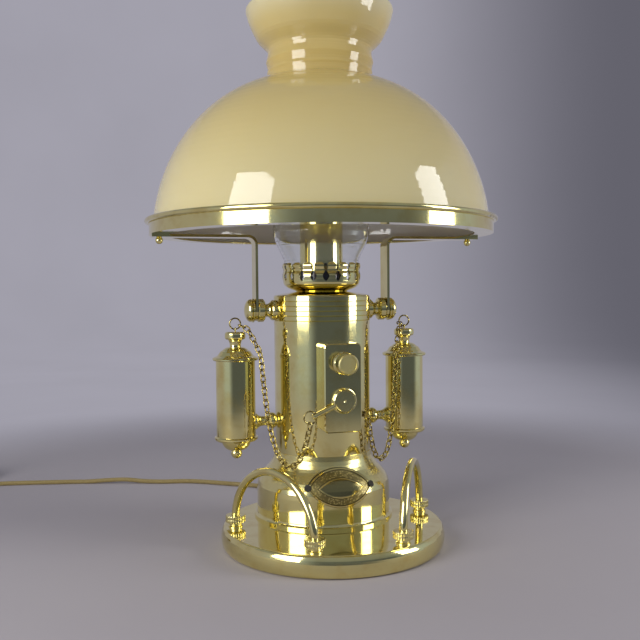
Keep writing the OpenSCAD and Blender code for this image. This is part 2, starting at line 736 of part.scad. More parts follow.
groove_z = [for (i = [0:groove_count - 1]) column_top_z - groove_pitch * (groove_count - i)];
module column_tube() color(brass) difference() {
    turned(concat(
        [[column_r - column_t, bell_top_z], [column_r, bell_top_z], [column_r, band_z]],
        [[band_r, band_z]],
        [
            for (z = groove_z) each [
                [band_r, z - groove_w / 2], [band_r - groove_d, z],
                [band_r, z + groove_w / 2]
            ]
        ],
        [[band_r, column_top_z - 0.4], [band_r - 0.4, column_top_z], [column_r - column_t, column_top_z]]
    ));
    for (z = [pivot_z, bracket_z]) translate([0, 0, z]) rod_x(spigot_r + fit, -band_r - 2, band_r + 2);
    translate([wire_hole_x, -column_r + 5, feed_hole_z]) to_front()
        cylinder(r = feed_wire_r + 0.6, h = 12, $fn = 32);
    translate([-wire_hole_x, -column_r + 5, lamp_hole_z]) to_front()
        cylinder(r = lamp_wire_r + 0.6, h = 12, $fn = 32);
    rotate([0, 0, eye_a]) translate([0, 0, eye_z]) rod_x(eye_shank_r + fit, column_r - 6, column_r + 6);
}

module column_cap() color(brass) difference() {
    turned(concat(
        [[0, cap_top_z], [cap_flat_r, cap_top_z]],
        bezier([
            [cap_flat_r, cap_top_z], [column_r * 0.7, cap_top_z - 0.6],
            [column_r * 0.93, column_top_z + 1.8], [column_r - 0.6, column_top_z + 0.9]
        ], 8),
        [[column_r - 0.1, column_top_z + 0.5], [column_r - 0.1, column_top_z]],
        [[column_r - column_t - fit, column_top_z], [column_r - column_t - fit, column_top_z - cap_skirt]],
        [[column_r - column_t - cap_t, column_top_z - cap_skirt]],
        [[column_r - column_t - cap_t, column_top_z - 0.5]],
        [[cap_flat_r - 2, cap_top_z - cap_t], [0, cap_top_z - cap_t]]
    ));
    translate([0, 0, column_top_z]) cylinder(r = rod_r + fit, h = cap_rise + 1, $fn = 48);
    translate([lamp_wire_x, 0, column_top_z]) cylinder(r = lamp_wire_r + 1, h = cap_rise + 1, $fn = 32);
}

module tie_rod() color(steel) translate([0, 0, felt_t + 1]) difference() {
    cylinder(r = rod_r, h = rod_top_z - felt_t - 1, $fn = 48);
    translate([0, 0, -1]) cylinder(r = rod_bore_r, h = rod_top_z + 2, $fn = 48);
}

module tie_rod_nuts() color(steel) for (z = [felt_t + 1.5, cap_top_z])
    translate([0, 0, z]) difference() {
        hex(nut_r, nut_h);
        translate([0, 0, -1]) cylinder(r = rod_r + fit / 2, h = nut_h + 2, $fn = 48);
    }

// Half of a slot between two prongs: round at its foot, pinched, then wider to the tips
half_slot = [
    [0.5, 0], [1.3, 1], [1.9, 3], [1.7, 5.4], [0.9, 8], [0.8, 10], [1.3, 12.6], [2.1, 15.6], [2.6, 19.5]
];
prong_slot = concat(half_slot, reverse([for (p = half_slot) [-p[0], p[1]]]));
module burner_crown() color(brass) difference() {
    turned(concat(
        [[tube_r + fit, crown_z], [crown_neck_r, crown_z]],
        bezier([
            [crown_neck_r, crown_z], [crown_neck_r + 0.5, crown_z + 3],
            [crown_r - 1.5, crown_z + 1.2], [crown_r, crown_band_z]
        ], 8),
        [[crown_r, crown_top_z - 3.3], [crown_r + 0.6, crown_top_z]],
        [[crown_r + 0.6 - crown_t, crown_top_z], [crown_r - crown_t, crown_top_z - 3.3]],
        [[crown_r - crown_t, crown_floor_z], [tube_r + fit, crown_floor_z]]
    ));
    for (i = [0:prong_count - 1]) rotate([0, 0, 360 * (i + 0.5) / prong_count])
        translate([crown_r - crown_t - 0.5, 0, crown_slot_z]) rotate([90, 0, 90])
            linear_extrude(height = crown_t + 3) polygon(prong_slot);
}

module burner_tube() color(brass) turned([
    [tube_r - tube_t, cap_top_z], [tube_r, cap_top_z], [tube_r, cap_top_z + tube_h - 1.5],
    [tube_r - 1, cap_top_z + tube_h], [holder_r + fit, cap_top_z + tube_h],
    [holder_r + fit, cap_top_z + tube_h - tube_t], [tube_r - tube_t, cap_top_z + tube_h - tube_t]
]);

module lampholder() color([0.93, 0.92, 0.88]) difference() {
    translate([0, 0, holder_z]) cylinder(r = holder_r, h = holder_h, $fn = 64);
    translate([0, 0, holder_z - 1]) cylinder(r = rod_r + fit / 2, h = rod_top_z - holder_z + 1, $fn = 48);
    translate([0, 0, bulb_cap_z - 1]) cylinder(r = bulb_cap_r + run_fit, h = holder_h, $fn = 48);
    translate([holder_wire_x, 0, holder_z - 1]) cylinder(r = lamp_wire_r + fit, h = 6, $fn = 24);
}

module bulb_cap() color(steel) turned([
    [0, bulb_cap_z - 0.7], [2.4, bulb_cap_z - 0.7], [4, bulb_cap_z + 1.2], [bulb_cap_r, bulb_cap_z + 2.4],
    [bulb_cap_r, bulb_z], [0, bulb_z]
]);

bulb_side = concat([[bulb_cap_r + 0.6, bulb_z]], bezier([
    [bulb_cap_r + 0.6, bulb_z], [bulb_cap_r + 1, bulb_z + 5], [bulb_r, bulb_z + 3], [bulb_r, bulb_z + 11]
], 8));
module bulb_glass() color(clear) turned(concat(
    bulb_side, arc([0, bulb_z + bulb_h - bulb_r], bulb_r, bulb_r, 0, 90, 10),
    arc([0, bulb_z + bulb_h - bulb_r], bulb_r - bulb_t, bulb_r - bulb_t, 90, 0, 10),
    reverse(inset(bulb_side, bulb_t))
));

// Outline of the chimney's outer face from its foot
chimney_outline = concat(
    [[chimney_foot_r, chimney_z], [chimney_foot_r, crown_top_z - 0.5]],
    bezier([
        [chimney_foot_r, crown_top_z - 0.5], [chimney_foot_r + 0.6, crown_top_z + 8],
        [chimney_r, crown_top_z + 16], [chimney_r, crown_top_z + 31]
    ], 10),
    bezier([
        [chimney_r, crown_top_z + 31], [chimney_r, crown_top_z + 50],
        [chimney_top_r + 6.4, crown_top_z + 60], [chimney_top_r + 3.6, crown_top_z + 104]
    ], 12),
    bezier([
        [chimney_top_r + 3.6, crown_top_z + 104], [chimney_top_r + 1, crown_top_z + 136],
        [chimney_top_r, crown_top_z + 160], [chimney_top_r, chimney_z + chimney_h]
    ], 6)
);
module chimney() color(clear)
    turned(concat(chimney_outline, reverse(inset(chimney_outline, chimney_t))));

module spool(side) color(brass) difference() {
    translate([0, 0, pivot_z]) along_x() mirror([0, 0, side < 0 ? 1 : 0]) turned(concat(
        [[0, column_r - 5], [spigot_r, column_r - 5], [spigot_r, column_r - 1.5], [8.8, column_r - 1.5]],
        [[8.8, column_r + 2.6]],
        bezier([
            [8.8, column_r + 2.6], [8, column_r + 4.6], [5.6, column_r + 4.6], [5.6, column_r + 7.4]
        ], 6),
        bezier([
            [5.6, column_r + 7.4], [5.6, column_r + 9], [7, spool_collar_x - 6.6],
            [spool_r - 1, spool_collar_x - 6]
        ], 5),
        [[spool_r, spool_collar_x - 5], [spool_r, spool_collar_x - 0.8]],
        [[spool_r - 0.8, spool_collar_x], [0, spool_collar_x]]
    ));
    difference() {
        translate([0, 0, pivot_z - 20]) cylinder(r = band_r, h = 40, $fn = 96);
        translate([0, 0, pivot_z]) rod_x(spigot_r, -column_r - 9, column_r + 9);
    }
    translate([0, 0, pivot_z]) rod_x(stud_r + run_fit,
        side > 0 ? spool_collar_x - 8 : -spool_collar_x - 1,
        side > 0 ? spool_collar_x + 1 : -spool_collar_x + 8);
}

module arm_knob(side) color(brass) translate([0, 0, pivot_z]) along_x() mirror([0, 0, side < 0 ? 1 : 0])
    turned(concat(
        [[0, spool_collar_x - 7], [stud_r, spool_collar_x - 7], [stud_r, arm_knob_x]],
        [[arm_knob_r - 0.6, arm_knob_x]],
        [[arm_knob_r, arm_knob_x + 0.6], [arm_knob_r, arm_knob_x + 1.8]],
        [[arm_knob_r - 1.2, arm_knob_x + 2.3], [arm_knob_r - 0.4, arm_knob_x + 2.9]],
        arc([0, arm_knob_x + 2.9], arm_knob_r - 0.4, arm_knob_depth - 2.9, 0, 90, 10)
    ));

module arm(side) color(brass) mirror([side < 0 ? 1 : 0, 0, 0]) {
    bend_x = strap_x - strap_t / 2 + strap_bend_r;
    bend_z = ring_z - strap_bend_r;
    difference() {
        union() {
            translate([strap_x - strap_t / 2, 0, pivot_z]) along_x()
                cylinder(r = strap_w / 2, h = strap_t, $fn = 48);
            translate([strap_x - strap_t / 2, -strap_w / 2, pivot_z])
                cube([strap_t, strap_w, bend_z - pivot_z]);
        }
        translate([0, 0, pivot_z]) rod_x(strap_hole_r, strap_x - strap_t, strap_x + strap_t);
    }
    translate([bend_x, strap_w / 2, bend_z]) to_front() intersection() {
        difference() {
            cylinder(r = strap_bend_r, h = strap_w, $fn = 64);
            translate([0, 0, -1]) cylinder(r = strap_bend_r - strap_t, h = strap_w + 2, $fn = 64);
        }
        translate([-strap_bend_r, 0, 0]) cube([strap_bend_r, strap_bend_r, strap_w]);
    }
    difference() {
        translate([bend_x, -strap_w / 2, ring_z - strap_t]) cube([arm_end_x - bend_x, strap_w, strap_t]);
        translate([arm_screw_x, 0, ring_z - 5]) cylinder(r = arm_screw_r + fit, h = 10, $fn = 32);
    }
}

module arm_screws() color(brass) for (side = [-1, 1]) translate([side * arm_screw_x, 0, ring_z - strap_t]) {
    translate([0, 0, -3]) cylinder(r = arm_screw_r, h = 3 + strap_t + shelf_t - 0.1, $fn = 32);
    difference() {
        translate([0, 0, -2.6]) sphere(r = 3.2, $fn = 48);
        translate([-5, -5, 0]) cube([10, 10, 10]);
    }
}

module shade_ring() color(brass) difference() {
    union() {
        turned([
            [shade_ring_r - shelf_w, ring_z], [shade_ring_r, ring_z],
            [shade_ring_r, ring_z + shade_ring_h + 1.2],
            [shade_ring_r - shade_ring_t, ring_z + shade_ring_h + 1.2],
            [shade_ring_r - shade_ring_t, shelf_z], [shade_ring_r - shelf_w, shelf_z]
        ]);
        translate([0, 0, ring_z + shade_ring_h + bead_r + 0.3])
            ring(shade_ring_r + bead_r - 0.8, bead_r);
    }
    for (side = [-1, 1]) translate([side * arm_screw_x, 0, ring_z - 5])
        cylinder(r = arm_screw_r + fit, h = 10, $fn = 32);
}

// Outer line of the shade: a dome that narrows into the neck, then the waist and the flared lip
shade_lift = 4.2;
shade_turn_a = acos(pow(neck_r / shade_r, 1 / 0.81));
shade_dome = concat([[shade_r, shade_foot_z]], [
    for (i = [0:28]) let (a = shade_turn_a * i / 28)
        [
            shade_r * pow(cos(a), 0.81),
            shade_foot_z + shade_lift + (dome_rise - shade_lift) * pow(sin(a) / sin(shade_turn_a), 1.13)
        ]
]);
shade_neck = concat(
    bezier([
        [neck_r, neck_z], [neck_r + 0.2, neck_z + 2.5],
        [neck_r - 0.4, neck_z + 4.5], [neck_r + 0.6, neck_z + 7]
    ], 4),
    bezier([
        [neck_r + 0.6, neck_z + 7], [neck_r - 0.2, neck_z + 10],
        [neck_r + 0.6, neck_z + 13], [neck_r + 1.4, neck_z + 15.8]
    ], 4),
    bezier([
        [neck_r + 1.4, neck_z + 15.8], [neck_r + 1.2, neck_z + 18.4],
        [neck_r, neck_z + 20], [neck_r - 0.1, waist_z]
    ], 4),
    bezier([
        [neck_r - 0.1, waist_z], [neck_r + 0.3, waist_z + flare_h * 0.12],
        [neck_r + 6.1, waist_z + flare_h * 0.18], [neck_r + 9.7, waist_z + flare_h * 0.33]
    ], 6),
    bezier([
        [neck_r + 9.7, waist_z + flare_h * 0.33], [neck_r + 12.7, waist_z + flare_h * 0.49],
        [lip_r - 1.8, waist_z + flare_h * 0.68], [lip_r, waist_z + flare_h * 0.93]
    ], 8)
);
module shade() color(opal) turned(concat(
    shade_dome, shade_neck,
    arc([lip_r - glass_t / 2, lip_z - glass_t / 2], glass_t / 2, glass_t / 2, 20, 160, 6),
    reverse(inset(shade_neck, glass_t)), reverse(shifted(shade_dome, -glass_t))
));

module bracket(side) color(brass) difference() {
    translate([0, 0, bracket_z]) along_x() mirror([0, 0, side < 0 ? 1 : 0]) turned(concat(
        [[0, column_r - 5], [spigot_r, column_r - 5], [spigot_r, column_r - 1]],
        [[bracket_boss_r - 2, column_r - 1]],
        arc([bracket_boss_r - 4.1, column_r + 4.1], 4.1, 4.1, -60, 60, 8),
        bezier([
            [bracket_boss_r - 2, column_r + 7.7], [bracket_neck_r + 0.2, column_r + 8.2],
            [bracket_neck_r, column_r + 9.2], [bracket_neck_r, column_r + 11.2]
        ], 4),
        bezier([
            [bracket_neck_r, column_r + 11.2], [bracket_neck_r, column_r + 15.2],
            [bracket_boss_r - 0.8, bracket_end_x - 2], [bracket_boss_r + 0.3, bracket_end_x]
        ], 6),
        [[bracket_boss_r + 0.3, bracket_end_x + 2.6], [bracket_stud_r, bracket_end_x + 2.6]],
        [[bracket_stud_r, bracket_end_x + 6], [0, bracket_end_x + 6]]
    ));
    difference() {
        translate([0, 0, bracket_z - 20]) cylinder(r = column_r, h = 40, $fn = 96);
        translate([0, 0, bracket_z]) rod_x(spigot_r, -column_r - 9, column_r + 9);
    }
    translate([side * can_x, 0, bracket_z]) difference() {
        translate([0, 0, -20]) cylinder(r = can_r, h = 40, $fn = 96);
        rod_x(bracket_stud_r, -can_r - 2, can_r + 2);
    }
}

module column_nuts() color(steel) for (side = [-1, 1], z = [pivot_z, bracket_z])
    translate([side * (column_r - column_t - 0.5), 0, z]) along_x() mirror([0, 0, side > 0 ? 1 : 0])
        difference() {
            hex(5.2, 2.4);
            translate([0, 0, -1]) cylinder(r = spigot_r + fit / 2, h = 9, $fn = 32);
        }

module canister(side) color(brass) difference() {
    translate([side * can_x, 0, 0]) turned([
        [can_r - can_t, can_z], [can_r, can_z], [can_r, can_top_z], [can_r - can_t, can_top_z]
    ]);
    translate([side * bracket_end_x, 0, bracket_z]) rod_x(bracket_stud_r + fit, -3, 3);
}

module canister_foot(side) color(brass) translate([side * can_x, 0, 0]) turned(concat(
    [[0, can_z + 4], [can_r - can_t - fit, can_z + 4], [can_r - can_t - fit, can_z], [can_r + 0.4, can_z]],
    [[foot_r, can_z - 0.8], [foot_r, foot_z + 1.3], [foot_r - 1, foot_z], [foot_r - 6, foot_z]],
    bezier([
        [foot_r - 6, foot_z], [foot_r - 6.2, foot_z - 5.5],
        [ball_r + 3.6, foot_z - bowl_h + 0.6], [ball_r * cos(ball_join_a), foot_z - bowl_h]
    ], 8),
    arc([0, ball_z], ball_r, ball_r, ball_join_a - 10, -90, 10)
));

module canister_lid(side) color(brass) translate([side * can_x, 0, 0]) {
    turned(concat(
        [[0, can_top_z - 6], [can_r - can_t - fit, can_top_z - 6], [can_r - can_t - fit, can_top_z]],
        [[lid_r - 0.7, can_top_z], [lid_r, can_top_z + 0.8], [lid_r, can_top_z + 1.8]],
        [[lid_r - 0.9, can_top_z + 2.6]],
        bezier([
            [can_r, lid_dome_z - 0.2], [can_r - 2.6, lid_dome_z + 0.3],
            [can_r - 3, lid_dome_z + 4.6], [can_r - 5.6, lid_dome_z + dome_h * 0.62]
        ], 6),
        bezier([
            [can_r - 5.6, lid_dome_z + dome_h * 0.62], [can_r - 7.4, lid_dome_z + dome_h * 0.84],
            [finial_neck_r + 2.6, lid_dome_z + dome_h], [finial_neck_r, lid_dome_z + dome_h]
        ], 4),
        bezier([
            [finial_neck_r, lid_dome_z + dome_h], [finial_neck_r - 0.2, lid_dome_z + dome_h + 2],
            [finial_neck_r, button_z - 1.6], [finial_neck_r + 1.6, button_z]
        ], 4),
        arc([button_r - 2, button_z + 2], 2, 2, -90, 0, 4),
        arc([button_r - 2.4, lid_top_z - 2.4], 2.4, 2.4, 0, 90, 4),
        [[0, lid_top_z]]
    ));
    translate([0, 0, lid_eye_z]) rotate([0, 90, 0]) ring(lid_eye_r, lid_eye_wire_r);
}

module lid_ring(side) color(brass) translate([side * can_x, 0, lid_ring_z])
    to_front() ring(lid_ring_r, ring_wire_r);

module chain_eye() color(brass) rotate([0, 0, eye_a]) translate([0, 0, eye_z]) {
    rod_x(eye_shank_r, column_r - 4, eye_out - eye_r);
    rod_x(2.4, column_r + 0.1, column_r + 0.9);
    translate([eye_out, 0, 0]) to_front() ring(eye_r, ring_wire_r);
}

module chain_link() {
    straight = link_l - 2 * link_bend_r - 2 * chain_wire_r;
    for (s = [-1, 1]) {
        translate([s * straight / 2, 0, 0]) rotate([0, 0, s * 90 - 180])
            rotate_extrude(angle = 180, $fn = 32) translate([link_bend_r, 0]) circle(chain_wire_r, $fn = 16);
        translate([0, s * link_bend_r, 0]) rod_link(straight);
    }
}
module rod_link(l) translate([-l / 2, 0, 0]) along_x() cylinder(r = chain_wire_r, h = l, $fn = 16);

module chain(points) color(brass) for (i = [0:len(points) - 2]) {
    v = points[i + 1] - points[i];
    translate((points[i] + points[i + 1]) / 2)
        rotate([0, -atan2(v[2], norm([v[0], v[1]])), atan2(v[1], v[0])])
            rotate([i % 2 == 0 ? 0 : 90, 0, 0]) chain_link();
}
module chain_left() chain(chain_points([left_start, left_over, left_edge], left_end, left_links));
module chain_right()
    chain(chain_points([right_start, right_over, right_mid, right_edge], right_end, right_links));

module box_outline(inset_by, depth) {
    x = box_w / 2 - box_corner_r;
    z = box_h / 2 - box_corner_r;
    translate([0, 0, box_mid_z]) to_front() linear_extrude(height = depth) union() {
        square([2 * x, box_h - 2 * inset_by], center = true);
        square([box_w - 2 * inset_by, 2 * z], center = true);
        for (i = [-1, 1], j = [-1, 1]) translate([i * x, j * z]) circle(box_corner_r - inset_by, $fn = 48);
    }
}
// Bevel round the front: two wedge-shaped slabs and a cone at each corner
module box_bevels() {
    x = box_w / 2 - box_corner_r;
    z = box_h / 2 - box_corner_r;
    translate([0, -box_front + box_bevel, box_mid_z]) {
        linear_extrude(height = 2 * z, center = true) polygon([
            [-box_w / 2, 0], [box_w / 2, 0], [box_w / 2 - box_bevel, -box_bevel],
            [-box_w / 2 + box_bevel, -box_bevel]
        ]);
        translate([-x, 0, 0]) rotate([90, 0, 90]) linear_extrude(height = 2 * x) polygon([
            [0, -box_h / 2], [-box_bevel, -box_h / 2 + box_bevel],
            [-box_bevel, box_h / 2 - box_bevel], [0, box_h / 2]
        ]);
        for (i = [-1, 1], j = [-1, 1]) translate([i * x, 0, j * z]) to_front()
            cylinder(r1 = box_corner_r, r2 = box_corner_r - box_bevel, h = box_bevel, $fn = 48);
    }
}
module switch_box() color(brass) difference() {
    union() {
        box_outline(0, box_front - box_bevel);
        box_bevels();
    }
    box_outline(box_t, box_front - box_t);
    translate([0, 0, box_z - 10]) cylinder(r = column_r, h = box_h + 20, $fn = 96);
    for (z = [knob_z, hub_z]) translate([0, -box_front + box_t + 1, z])
        to_front() cylinder(r = bush_r + fit, h = box_t + 3, $fn = 48);
}

module box_part(z, w, h) difference() {
    union() {
        translate([-w / 2, -box_front + box_t + fit, z - h / 2]) cube([w, switch_depth, h]);
        translate([0, -box_front + box_t + 1, z]) to_front() cylinder(r = bush_r, h = box_t + 1, $fn = 48);
    }
    translate([0, -box_front + box_t + 9, z]) to_front() cylinder(r = spindle_r + run_fit, h = 20, $fn = 48);
}
module dimmer_body() color([0.13, 0.13, 0.14]) box_part(knob_z, 20, 22);
module switch_body() color([0.20, 0.16, 0.12]) box_part(hub_z, 20, 24);

module dimmer_knob() color(brass) translate([0, hub_y, knob_z]) to_front() {
    turned(concat(
        [[0, 0], [knob_flange_r, 0], [knob_flange_r, 1.6], [knob_flange_r - 0.7, 2.6]],
        [[knob_r - 0.9, 3.2], [knob_r - 0.9, 5.4], [knob_r, 6.2], [knob_r, knob_depth - 1.4]],
        [[knob_r - 1, knob_depth], [knob_r - 2, knob_depth], [knob_r - 2.2, knob_depth - 0.5]],
        [[0, knob_depth - 0.5]]
    ));
    translate([0, 0, -8]) cylinder(r = spindle_r, h = 8.5, $fn = 48);
}

lever_spigot_r = 1.6;
module on_lever() translate([0, lever_y, hub_z]) rotate([0, 180 - lever_drop_a, 0]) children();
module lever_hub() color(brass) difference() {
    translate([0, hub_y, hub_z]) to_front() {
        turned([
            [0, 0], [hub_r + 0.9, 0], [hub_r + 0.9, 1], [hub_r, 1.5], [hub_r, hub_depth - 0.7],
            [hub_r - 0.7, hub_depth], [hub_r - 1.3, hub_depth], [hub_r - 1.5, hub_depth - 0.3],
            [1.2, hub_depth - 0.3], [0, hub_depth - 0.9]
        ]);
        translate([0, 0, -8]) cylinder(r = spindle_r, h = 8.5, $fn = 48);
    }
    on_lever() {
        rod_x(lever_spigot_r + run_fit, hub_r - 4.5, hub_r + 1);
        rod_x(lever_rod_r + run_fit, hub_r - 0.4, hub_r + 3);
    }
}
module lever_rod() color(brass) on_lever() difference() {
    along_x() turned([
        [0, hub_r - 4.4], [lever_spigot_r, hub_r - 4.4], [lever_spigot_r, hub_r - 0.35],
        [lever_rod_r, hub_r - 0.35], [lever_rod_r, lever_l - 0.8], [lever_rod_r - 0.8, lever_l], [0, lever_l]
    ]);
    translate([lever_hole + 0.3, 0, 0])
        cylinder(r = ring_hole_r, h = 3 * lever_rod_r, center = true, $fn = 32);
}
module lever_ring() color(brass) translate(ring_centre) to_front() ring(lever_ring_r, ring_wire_r);

// Wires inside the lamp as runs between points, with a round joint at each bend
module wire(p, r) color([0.55, 0.12, 0.10]) for (i = [0:len(p) - 2]) {
    v = p[i + 1] - p[i];
    translate(p[i]) rotate([0, atan2(norm([v[0], v[1]]), v[2]), atan2(v[1], v[0])])
        cylinder(r = r, h = norm(v), $fn = 24);
    if (i > 0) translate(p[i]) sphere(r = r + 0.3, $fn = 24);
}
module feed_wire() wire([
    [0, base_back + gland_flange_t, cord_exit_z], [0, feed_y, cord_exit_z], [0, feed_y, base_h + 12],
    [2.4 * rod_r, 0, bell_top_z - 15.5], [wire_hole_x, wire_rise_y, feed_hole_z], [wire_hole_x, wire_back_y, feed_hole_z]
], feed_wire_r);
module lamp_wire() wire([
    [-wire_hole_x, wire_back_y, lamp_hole_z], [-wire_hole_x, wire_rise_y, lamp_hole_z],
    [lamp_wire_x, 0, column_top_z - 12], [lamp_wire_x, 0, cap_top_z + 6],
    [holder_wire_x, 0, holder_z - 4], [holder_wire_x, 0, holder_z + 4]
], lamp_wire_r);

module cord_gland() color(brass) translate([0, base_back + gland_flange_t, cord_exit_z])
    to_front() difference() {
        union() {
            cylinder(r = gland_flange_r, h = gland_flange_t, $fn = 48);
            cylinder(r = gland_r, h = gland_l, $fn = 48);
        }
        translate([0, 0, -1]) cylinder(r = feed_wire_r + fit, h = gland_l + 2, $fn = 32);
    }
module cord_relief() color(gold_cord) translate([0, base_back + gland_flange_t, cord_exit_z])
    rotate([-90, 0, 0]) turned([
        [0, 0], [4.2, 0], [4.2, 1.6], [3.6, 3], [cord_r + 0.3, relief_l], [0, relief_l]
    ]);

module cord_run() color(gold_cord) tube(run_points, cord_r, 8, [0, 1, 0], coil_in);
module cord_coil() color(gold_cord) tube(coil_points, cord_r, 6, coil_in, coil_out);
module cord_tail() color(gold_cord) tube(tail_points, cord_r, 8, coil_out, coil_out);

module plug_body() color(gold_cord) translate([plug_at[0], plug_at[1], plug_t / 2]) {
    translate([0, 0, -plug_t / 2]) linear_extrude(height = plug_t) polygon([
        [-cord_r - 1.6, 0], [cord_r + 1.6, 0], [cord_r + 2, 10], [plug_w / 2 - 3, 17], [plug_w / 2, 20],
        [plug_w / 2, plug_l], [-plug_w / 2, plug_l], [-plug_w / 2, 20], [-plug_w / 2 + 3, 17],
        [-cord_r - 2, 10]
    ]);
}
module plug_pins() color(steel) for (s = [-1, 1])
    translate([plug_at[0] + s * pin_gap / 2, plug_at[1] + plug_l, plug_t / 2]) rotate([-90, 0, 0]) {
        cylinder(r = pin_r, h = pin_l - pin_r, $fn = 32);
        translate([0, 0, pin_l - pin_r]) sphere(r = pin_r, $fn = 32);
    }

base_disc();
base_weight();
base_felt();
rail(-1);  // rail_left
rail(1);  // rail_right
rail_collars();
rail_nuts();
bell();
name_plate();
plate_screws();
column_tube();
column_cap();
tie_rod();
tie_rod_nuts();
burner_crown();
burner_tube();
lampholder();
bulb_cap();
bulb_glass();
chimney();
spool(-1);  // spool_left
spool(1);  // spool_right
arm_knob(-1);  // arm_knob_left
arm_knob(1);  // arm_knob_right
arm(-1);  // arm_left
arm(1);  // arm_right
arm_screws();
shade_ring();
shade();
bracket(-1);  // bracket_left
bracket(1);  // bracket_right
column_nuts();
canister(-1);  // canister_left
canister(1);  // canister_right
canister_foot(-1);  // canister_foot_left
canister_foot(1);  // canister_foot_right
canister_lid(-1);  // canister_lid_left
canister_lid(1);  // canister_lid_right
lid_ring(-1);  // lid_ring_left
lid_ring(1);  // lid_ring_right
chain_left();
chain_right();
chain_eye();
switch_box();
dimmer_body();
switch_body();
dimmer_knob();
lever_hub();
lever_rod();
lever_ring();
feed_wire();
lamp_wire();
cord_gland();
cord_relief();
cord_run();
cord_coil();
cord_tail();
plug_body();
plug_pins();
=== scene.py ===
# %% [markdown]
# # A brass table lamp with an opal glass shade
# The real lamp is turned, drawn and sheet brass, polished and lacquered, under an opal shade on a ring
# that tilts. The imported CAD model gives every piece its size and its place, so nothing is measured
# again here. Blender gives each piece its finish, and makes the few pieces that the CAD model holds
# only as plain solids: the cord, its strain relief, the plug, the knurled collars and the chain that
# moves with the lever.

# %% Load the CAD model as the frame
from math import cos, floor, pi, radians, sin

import bmesh
import bpy
from mathutils import Matrix, Vector


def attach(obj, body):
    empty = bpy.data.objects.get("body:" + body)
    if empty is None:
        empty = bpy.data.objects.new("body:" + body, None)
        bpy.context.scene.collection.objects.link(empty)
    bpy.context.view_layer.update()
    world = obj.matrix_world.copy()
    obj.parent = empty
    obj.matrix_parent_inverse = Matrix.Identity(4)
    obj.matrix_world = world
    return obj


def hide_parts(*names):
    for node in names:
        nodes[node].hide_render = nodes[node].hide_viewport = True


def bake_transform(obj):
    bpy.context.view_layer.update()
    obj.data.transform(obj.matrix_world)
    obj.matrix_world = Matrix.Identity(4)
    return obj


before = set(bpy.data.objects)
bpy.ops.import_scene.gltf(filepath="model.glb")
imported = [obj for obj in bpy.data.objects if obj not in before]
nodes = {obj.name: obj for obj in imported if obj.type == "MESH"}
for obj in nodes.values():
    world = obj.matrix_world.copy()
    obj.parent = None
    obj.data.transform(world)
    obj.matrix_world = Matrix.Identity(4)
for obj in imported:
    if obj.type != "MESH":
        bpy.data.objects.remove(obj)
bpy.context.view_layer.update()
scene = bpy.context.scene
scene.view_settings.view_transform = "Standard"

# %% [markdown]
# ## The camera
# The photograph was taken close to the lamp, from the height of its column, a little to its left and
# a touch tilted. A camera can be aimed with a constraint, but three plain turns say the same and stay
# readable: swing round the lamp, tip down, roll.

# %% Camera
EYE = Vector((-0.1884, -0.6825, 0.2164))
SWING, TIP, ROLL = radians(-15.3), radians(87.8), radians(-0.48)

camera_data = bpy.data.cameras.new("photo_camera")
camera_data.lens = 45
camera_data.sensor_width = 36
camera = bpy.data.objects.new("photo_camera", camera_data)
scene.collection.objects.link(camera)
camera.matrix_world = (
    Matrix.Translation(EYE)
    @ Matrix.Rotation(SWING, 4, "Z")
    @ Matrix.Rotation(TIP, 4, "X")
    @ Matrix.Rotation(ROLL, 4, "Z")
)
scene.camera = camera
print("camera at", tuple(round(v, 3) for v in EYE), "lens", camera_data.lens)

# %% [markdown]
# ## The line of the cord
# The real cord leaves the back of the base, drops to the table and runs off to the left. What the
# photograph does not show is wound into a neat coil just outside the view, with the plug beside it.
# A cord could be simulated, but a line of listed points is the same each run. Its points are those
# of the CAD solids, so the cord lies where they lie. A smooth curve is then drawn through them.

# %% Points of the cord, in metres
CORD_D = 0.0048
OUT_OF_BASE = (0, 0.092, 0.0086)
ALONG_TABLE = [
    OUT_OF_BASE, (0, 0.104, 0.0082), (-0.001, 0.116, 0.0068), (-0.003, 0.128, 0.0046),
    (-0.007, 0.142, 0.0028), (-0.014, 0.156, 0.0024), (-0.028, 0.173, 0.0024),
    (-0.047, 0.186, 0.0024), (-0.057, 0.1925, 0.0024), (-0.078, 0.2065, 0.0024),
    (-0.099, 0.217, 0.0024), (-0.126, 0.223, 0.0024), (-0.146, 0.230, 0.0028),
    (-0.165, 0.236, 0.0045), (-0.185, 0.242, 0.0038), (-0.205, 0.248, 0.0024),
    (-0.230, 0.254, 0.0024), (-0.255, 0.259, 0.0024), (-0.280, 0.264, 0.0024),
    (-0.300, 0.267, 0.0024), (-0.318, 0.268, 0.0024), (-0.334, 0.268, 0.0024),
    (-0.3472, 0.268, 0.0024),
]
COIL_AT = Vector((-0.352, 0.302, 0.0024))
COIL_R, COIL_PITCH, COIL_LAYER, COIL_TURNS = 0.0285, 0.0055, 0.0053, 7.25
TO_PLUG = [
    (0, 0.0048, 0), (0, 0.0128, 0), (0, 0.0208, -0.0012), (0, 0.0288, -0.0038),
    (0, 0.0368, -0.0068), (0, 0.0448, -0.0093), (0, 0.0528, -0.0109), (0, 0.0608, -0.0114),
]


def smooth_line(points, steps):
    """More points on a smooth curve through these."""
    points = [Vector(p) for p in points]
    line = []
    for i in range(len(points) - 1):
        a, b, c = points[max(i - 1, 0)], points[i], points[i + 1]
        d = points[min(i + 2, len(points) - 1)]
        for j in range(steps):
            t = j / steps
            line.append(
                b + t * (c - a) / 2 + t * t * (a - 2.5 * b + 2 * c - d / 2)
                + t * t * t * (1.5 * (b - c) + (d - a) / 2)
            )
    return line + [points[-1]]


